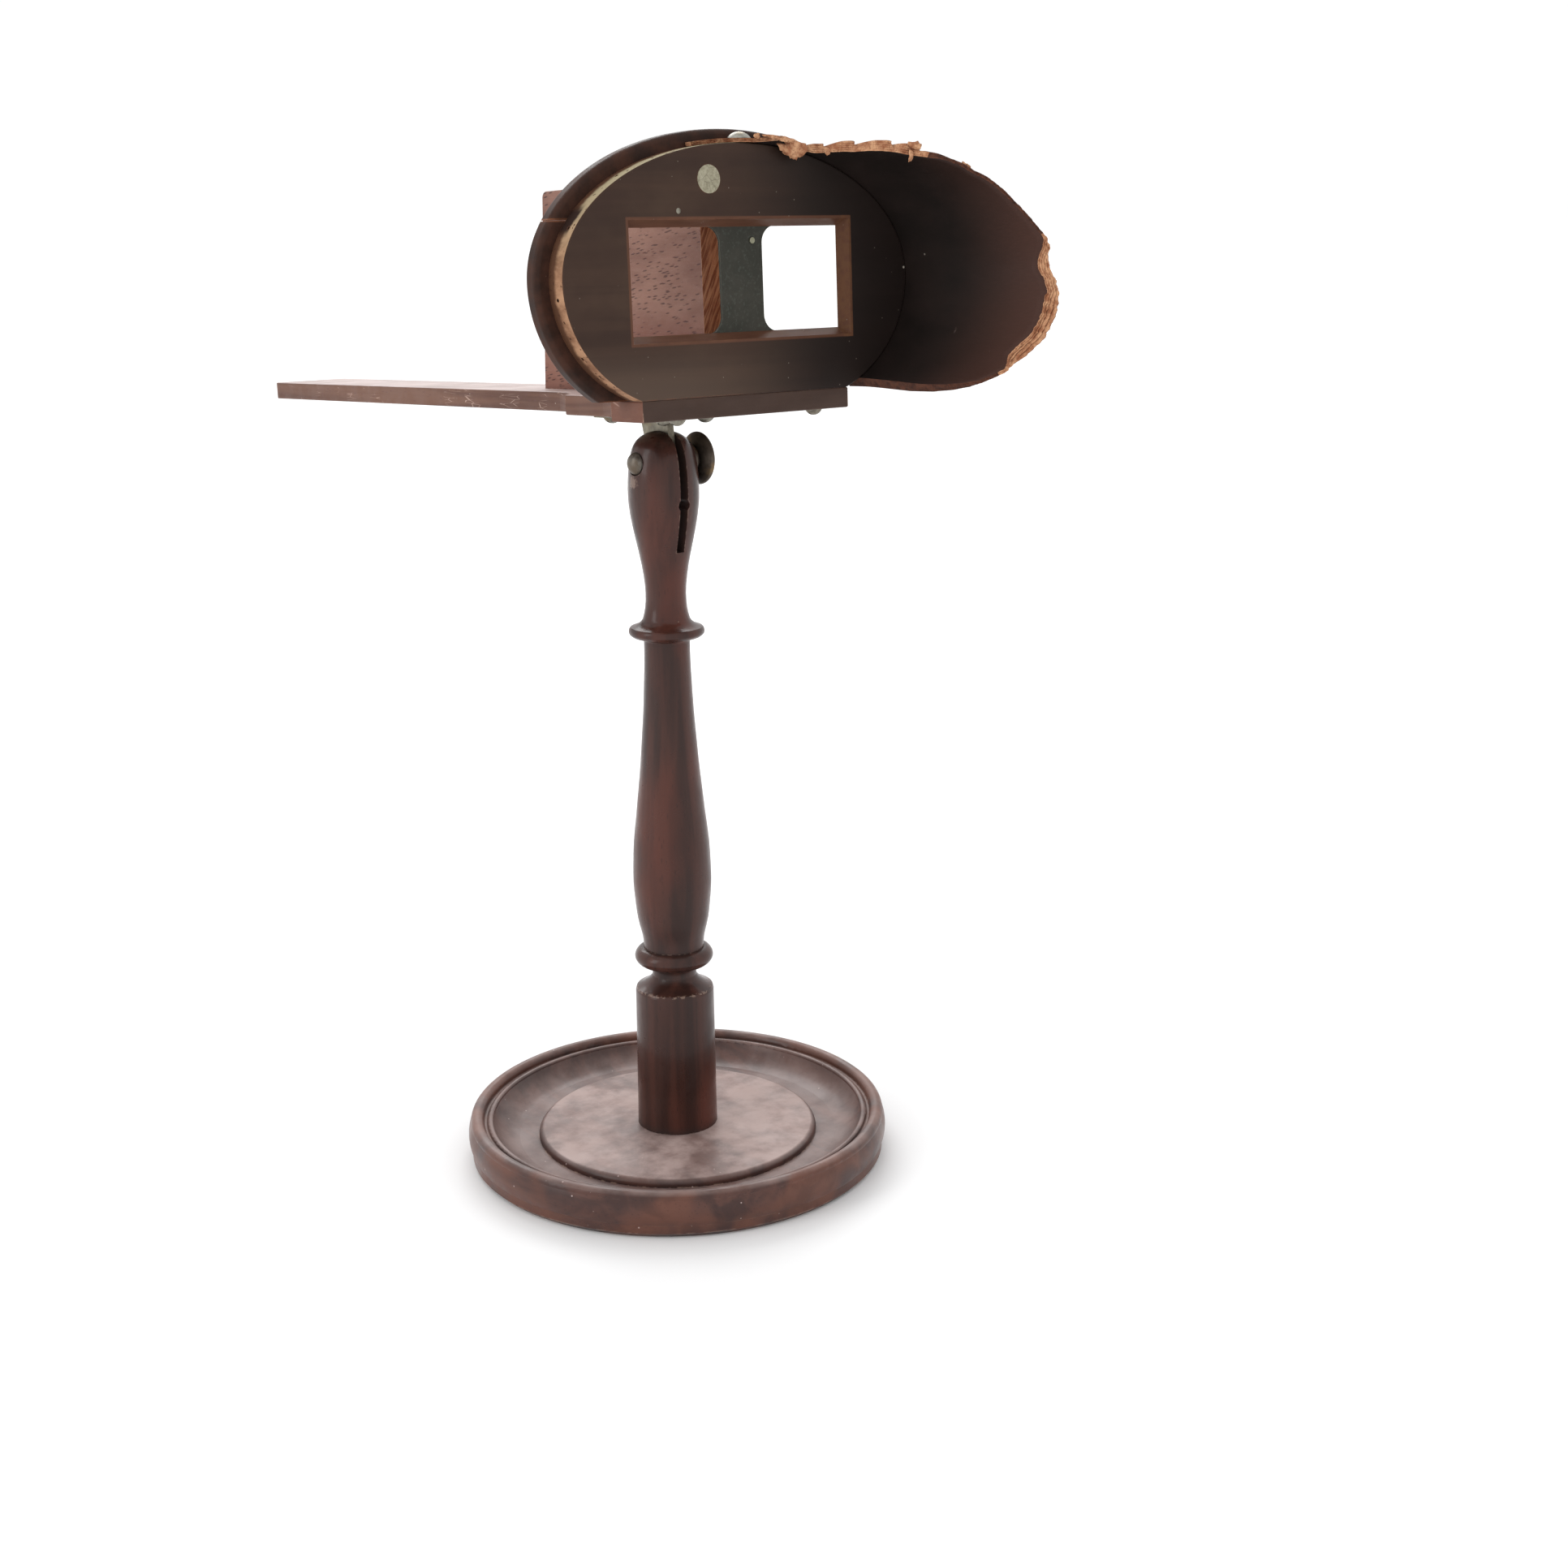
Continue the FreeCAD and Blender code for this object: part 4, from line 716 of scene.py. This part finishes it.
def lumps(x, y, seed):
    """Repeatable unevenness between -1 and 1."""
    return noise.noise(Vector((x, y, seed * 7.31)))


def ragged(x, y, seed):
    """The same unevenness between 0 and 1."""
    return 0.5 + 0.5 * lumps(x, y, seed)


def hood_wall_at(turn):
    """Thickness of the unbroken wall: the inner ply alone as far as the top, every ply beyond it."""
    return between(INNER_PLY, HOOD_WALL, smooth((turn - 0.54) / 0.07))


def hood_point(turn, reach, out):
    """Point of the hood in the object's frame, in metres; out is its distance from the board's edge line."""
    x, z, nx, nz = rim_point(turn)
    ahead = max(0.0, reach)
    flare = FLARE * ahead ** 2 / (ahead + FLARE_EASE) * (1 - FLARE_LOSS_BELOW * max(0.0, -nz))
    lift = LIFT * ahead ** 2 / (ahead ** 2 + LIFT_EASE_SQUARED) * max(0.0, nz)
    out += flare + lift
    return HEAD @ Vector((x + nx * out, -reach, z + nz * out)) * MM


def torn_edge_at(turn):
    """(reach, wall left) of the torn edge at a turn."""
    for (t0, *start), (t1, *end) in zip(TORN_EDGE, TORN_EDGE[1:]):
        if turn <= t1:
            share = (turn - t0) / (t1 - t0)
            return [between(a, b, share) for a, b in zip(start, end)]
    return TORN_EDGE[-1][1:]


def ply_setbacks(turn, left):
    """How far back from the torn edge each ply ends, from the lining to the outermost."""
    thinned = max(0.0, 1 - left / hood_wall_at(turn))
    peeled, stepped, scalloped = (stretch_of_edge(turn, bounds) for bounds in (PEELED, STEPPED, SCALLOPED))
    arch = abs(math.sin((turn - SCALLOP_START) * math.pi / SCALLOP_LENGTH))
    backs = []
    for ply in range(PLIES):
        outer = ply / (PLIES - 1)
        inner = 1 - outer
        back = 0.1 + 2.4 * peeled * min(1.0, 1.7 * inner) + 1.6 * stepped * inner
        back += scalloped * (0.9 * inner + 5.0 * ((1 - arch) * outer) ** 2)
        back += FEATHER * max(0.0, outer + thinned - 1)
        back += ragged(turn * 190, ply * 3.7, 3) * (0.3 + 0.5 * peeled + 0.5 * stepped)
        back += ragged(turn * 640, ply * 2.3, 9) * 0.25
        backs.append(back)
    return backs


def broken_plies(turn, ends, inside, wall):
    """Points over the broken ends, ply by ply, with a furrow at each glue line."""
    points = []
    for ply, end in enumerate(ends):
        low, high = between(inside, wall, ply / PLIES), between(inside, wall, (ply + 1) / PLIES)
        furrow = 0.16 * ragged(turn * 300, ply * 5.1, 4)
        points += [(end + 0.02, low + 0.08, TORN), (end + furrow * 0.6, (low + high) / 2, TORN),
                   (end - 0.04 - furrow, high - 0.06, TORN)]
        if ply + 1 < PLIES:
            points += [(between(end, ends[ply + 1], share) - furrow,
                        high + 0.05 * lumps(turn * 240, share * 9 + ply, 5), TORN)
                       for share in (0.3, 0.62, 0.9)]
    return points


def hood_profile(turn):
    """Closed cross-section at one turn as (reach, out, finish): lining, ply ends, outside, back edge."""
    reach, left = torn_edge_at(turn)
    wall = hood_wall_at(turn)
    start = 0.05 - LENS_BOARD_THICK
    bite = 0.25 + 0.3 * smooth((turn - RAGGED_START) / 0.02)
    reach -= bite * max(0.0, 0.3 + 0.6 * lumps(turn * 160, 0, 1) + 0.4 * lumps(turn * 420, 0, 2))
    ends = [max(start + 0.4, reach - back) for back in ply_setbacks(turn, left)]
    shares = [i / LONG_STEPS for i in range(LONG_STEPS + 1)]
    return ([(between(start, ends[0], share), FIT_GAP, LINING) for share in shares]
            + broken_plies(turn, ends, FIT_GAP, wall)
            + [(between(ends[-1], start, share), wall, OUTSIDE) for share in shares])


def new_object(name, mesh, materials):
    data = bpy.data.meshes.new(name)
    mesh.to_mesh(data)
    mesh.free()
    made = bpy.data.objects.new(name, data)
    bpy.context.scene.collection.objects.link(made)
    for material in materials:
        data.materials.append(material)
    return made


def edge_turns():
    """Evenly spaced turns along the torn edge, its end among them."""
    turns, turn = [], TORN_EDGE[0][0]
    while turn < TORN_EDGE[-1][0]:
        turns.append(turn)
        turn += TURN_STEP
    return turns + [TORN_EDGE[-1][0]]


def build_hood(materials):
    """Bent laminated hood as one closed mesh whose broken edge shows every ply."""
    mesh = bmesh.new()
    rows = []
    for turn in edge_turns():
        profile = hood_profile(turn)
        row = [mesh.verts.new(hood_point(turn, reach, out)) for reach, out, _ in profile]
        rows.append((turn, row, [finish for *_, finish in profile]))
    for (turn, row, finishes), (_, after, _) in zip(rows, rows[1:]):
        broken = WORN if any(low < turn < high for low, high in WORN_STRETCHES) else TORN
        for i in range(len(row)):
            j = (i + 1) % len(row)
            face = mesh.faces.new((row[i], row[j], after[j], after[i]))
            finish = finishes[i] if finishes[i] == finishes[j] < TORN else broken
            face.material_index = OUTSIDE if j == 0 else finish
            face.smooth = face.material_index < TORN
    mesh.faces.new(rows[0][1][::-1]).material_index = TORN
    mesh.faces.new(rows[-1][1]).material_index = WORN
    bmesh.ops.recalc_face_normals(mesh, faces=mesh.faces)
    hood = new_object("hood_plies", mesh, materials)
    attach(hood, "head")
    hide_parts("hood_shell")


# ---------------------------------------------------------------- torn scraps
# Name: (turn, reach, out) of its root, half sizes (along the edge, toward the eyes, thick) in mm, seed,
# droop, spin in radians, and fold, which tips it down, in degrees.
SCRAPS = {
    "torn_flap": ((0.556, 2.2, 0.5), (6.4, 4.4, 0.8), 3.1, 0.2, -0.2, 66),
    "torn_lip": ((0.538, 3.6, 1.2), (6.0, 1.6, 0.6), 8.2, 0.25, 0.0, 15),
    "curl_near_tack": ((0.516, 1.4, 1.7), (1.1, 1.1, 0.7), 5.5, -0.6, 0.0, 0),
    "curl_upper": ((0.640, 26.0, 2.7), (2.0, 1.5, 0.9), 11.4, -0.5, 0.7, 0),
    "curl_right": ((0.684, 35.4, 2.2), (2.4, 1.1, 0.6), 14.9, -0.35, 0.0, 0),
    "hanging_fibre": ((0.640, 25.4, 0.6), (1.0, 2.6, 0.4), 21.0, 0.2, 0.0, 72),
    "scallop_drip": ((0.590, 5.8, 0.6), (1.3, 1.5, 0.5), 25.0, 0.4, 0.0, 60),
}


def flake_point(p, size, seed, droop, turned):
    """Point of a unit sphere moved onto a lumpy bent flake, in the flake's own axes."""
    wide, deep, thick = size
    y = p.y * (0.45 if p.y < 0 else 1.0)
    shape = 1 + 0.5 * lumps(p.x * 1.3 + seed, y * 1.3, seed) + 0.22 * lumps(p.x * 4, y * 4 + seed, seed + 1)
    taper = 1 - 0.5 * max(0.0, y)
    p = turned @ Vector((p.x * wide * taper * shape, y * deep * shape, p.z * thick))
    bend = -droop * (p.y / deep) ** 2 * deep if p.y > 0 else 0.0
    ridge = 0.5 * thick * lumps(p.x * 0.7, p.y * 1.6, seed + 2)
    return Vector((p.x, p.y, p.z + bend + ridge))


def flake_axes(turn, fold):
    """Directions along the edge, toward the eyes and through the wall, the last two tipped down by fold."""
    _, _, nx, nz = rim_point(turn)
    outward = Vector((nx, 0, nz))
    tip = math.radians(fold)
    along = Vector((0, -math.cos(tip), 0)) - outward * math.sin(tip)
    across = outward * math.cos(tip) - Vector((0, math.sin(tip), 0))
    return Vector((nz, 0, -nx)), along, across


def build_scrap(name, material, where, size, seed, droop, spin, fold):
    """One torn scrap, its root on the hood's torn edge."""
    mesh = bmesh.new()
    bmesh.ops.create_icosphere(mesh, subdivisions=4, radius=1.0)
    tangent, along, across = flake_axes(where[0], fold)
    origin = hood_point(*where)
    turned = Matrix.Rotation(spin, 3, "Z")
    for vert in mesh.verts:
        p = flake_point(vert.co, size, seed, droop, turned)
        vert.co = origin + HEAD.to_3x3() @ (tangent * p.x + along * p.y + across * p.z) * MM
    for face in mesh.faces:
        face.smooth = True
    flake = new_object(name, mesh, [material])
    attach(flake, "head")


# ---------------------------------------------------------------- finishes on the CAD pieces
FINISHES = {
    polished_mahogany: ["column"],
    dusty_base: ["base_disc", "foot_plug"],
    shaft_timber: ["shaft_board"],
    septum_timber: ["septum"],
    stained_board: ["lens_board"],
    moulding_wood: ["ring_upper", "ring_left", "ring_right"],
    bare_strip: ["lens_rail_top", "lens_rail_bottom", "lens_divider"],
    filler: ["board_plug"],
    mask_paint: ["mask_plate"],
    lens_glass: ["lens_left", "lens_right"],
}


def dress(nodes, material):
    """Give CAD nodes one material in place of their own."""
    for name in nodes:
        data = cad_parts[name].data
        data.materials.clear()
        data.materials.append(material)


def finish_pieces():
    for make, nodes in FINISHES.items():
        dress(nodes, make())
    for name, (*look, nodes) in METALS.items():
        dress(nodes, old_metal(name, *look))
    torn = torn_wood("torn_wood", rgb(158, 104, 74), rgb(212, 164, 126))
    worn = torn_wood("worn_edge", rgb(52, 33, 27), rgb(88, 56, 43))
    build_hood([hood_lining(), hood_outside(), torn, worn])
    for name, shape in SCRAPS.items():
        build_scrap(name, torn, *shape)


# ---------------------------------------------------------------- stage
# The floor's half size in metres, and the distances in mm between which its glow sets in.
FLOOR_HALF = 60.0
GLOW_START, GLOW_FULL, GLOW = 350.0, 2600.0, 0.3
WORLD_STRENGTH = 1.02
LIGHT_AIM = Vector((0, 0, 0.2))
# Name: place and size in metres, power in watts.
LIGHTS = {
    "back_light": ((0.7, 1.5, 1.6), (1.6, 1.2), 22),
    "side_light": ((-1.7, 0.3, 0.9), (0.6, 1.2), 7),
}
# The camera stands where the photograph was taken from.
CAMERA_PLACE = (-0.3876, -0.5479, 0.3092)
CAMERA_FORWARD = (0.6006, 0.7558, -0.2608)
CAMERA_ROLL = math.radians(-0.48)
CAMERA_SENSOR, CAMERA_LENS = 36.0, 48.45


def build_floor():
    """Pale studio floor that fades into the white surround away from the object."""
    graph = Graph("studio_floor")
    place = graph.place(head=False)
    pale = graph.mix(graph.noise(place, 0.004, 2.0), (0.86, 0.86, 0.86), (0.88, 0.88, 0.885))
    graph.finish(pale, 0.7, Specular_IOR_Level=0.1, Emission_Color=(1, 1, 1, 1))
    glow = graph.step(graph.radius(place), GLOW_START, GLOW_FULL, 0.0, GLOW)
    graph.link(glow, graph.shader.inputs["Emission Strength"])
    mesh = bmesh.new()
    signs = ((-1, -1), (1, -1), (1, 1), (-1, 1))
    mesh.faces.new([mesh.verts.new((x * FLOOR_HALF, y * FLOOR_HALF, 0)) for x, y in signs])
    new_object("studio_floor", mesh, [graph.material])


def build_world():
    world = bpy.data.worlds.new("studio")
    bpy.context.scene.world = world
    world.use_nodes = True
    background = world.node_tree.nodes["Background"]
    background.inputs["Color"].default_value = (1, 1, 1, 1)
    background.inputs["Strength"].default_value = WORLD_STRENGTH


def area_light(name, place, size, power):
    data = bpy.data.lights.new(name, "AREA")
    data.shape = "RECTANGLE"
    data.size, data.size_y = size
    data.energy = power
    lamp = bpy.data.objects.new(name, data)
    lamp.location = place
    lamp.rotation_euler = (LIGHT_AIM - Vector(place)).to_track_quat("-Z", "Y").to_euler()
    bpy.context.scene.collection.objects.link(lamp)


def build_camera():
    data = bpy.data.cameras.new("camera")
    data.sensor_width, data.lens = CAMERA_SENSOR, CAMERA_LENS
    data.clip_start, data.clip_end = 0.01, 200.0
    camera = bpy.data.objects.new("camera", data)
    bpy.context.scene.collection.objects.link(camera)
    look = Vector(CAMERA_FORWARD).normalized().to_track_quat("-Z", "Y").to_matrix().to_4x4()
    camera.matrix_world = Matrix.Translation(CAMERA_PLACE) @ look @ Matrix.Rotation(CAMERA_ROLL, 4, "Z")
    bpy.context.scene.camera = camera


finish_pieces()
build_floor()
build_world()
for light, setting in LIGHTS.items():
    area_light(light, *setting)
build_camera()
bpy.context.scene.view_settings.view_transform = "Standard"
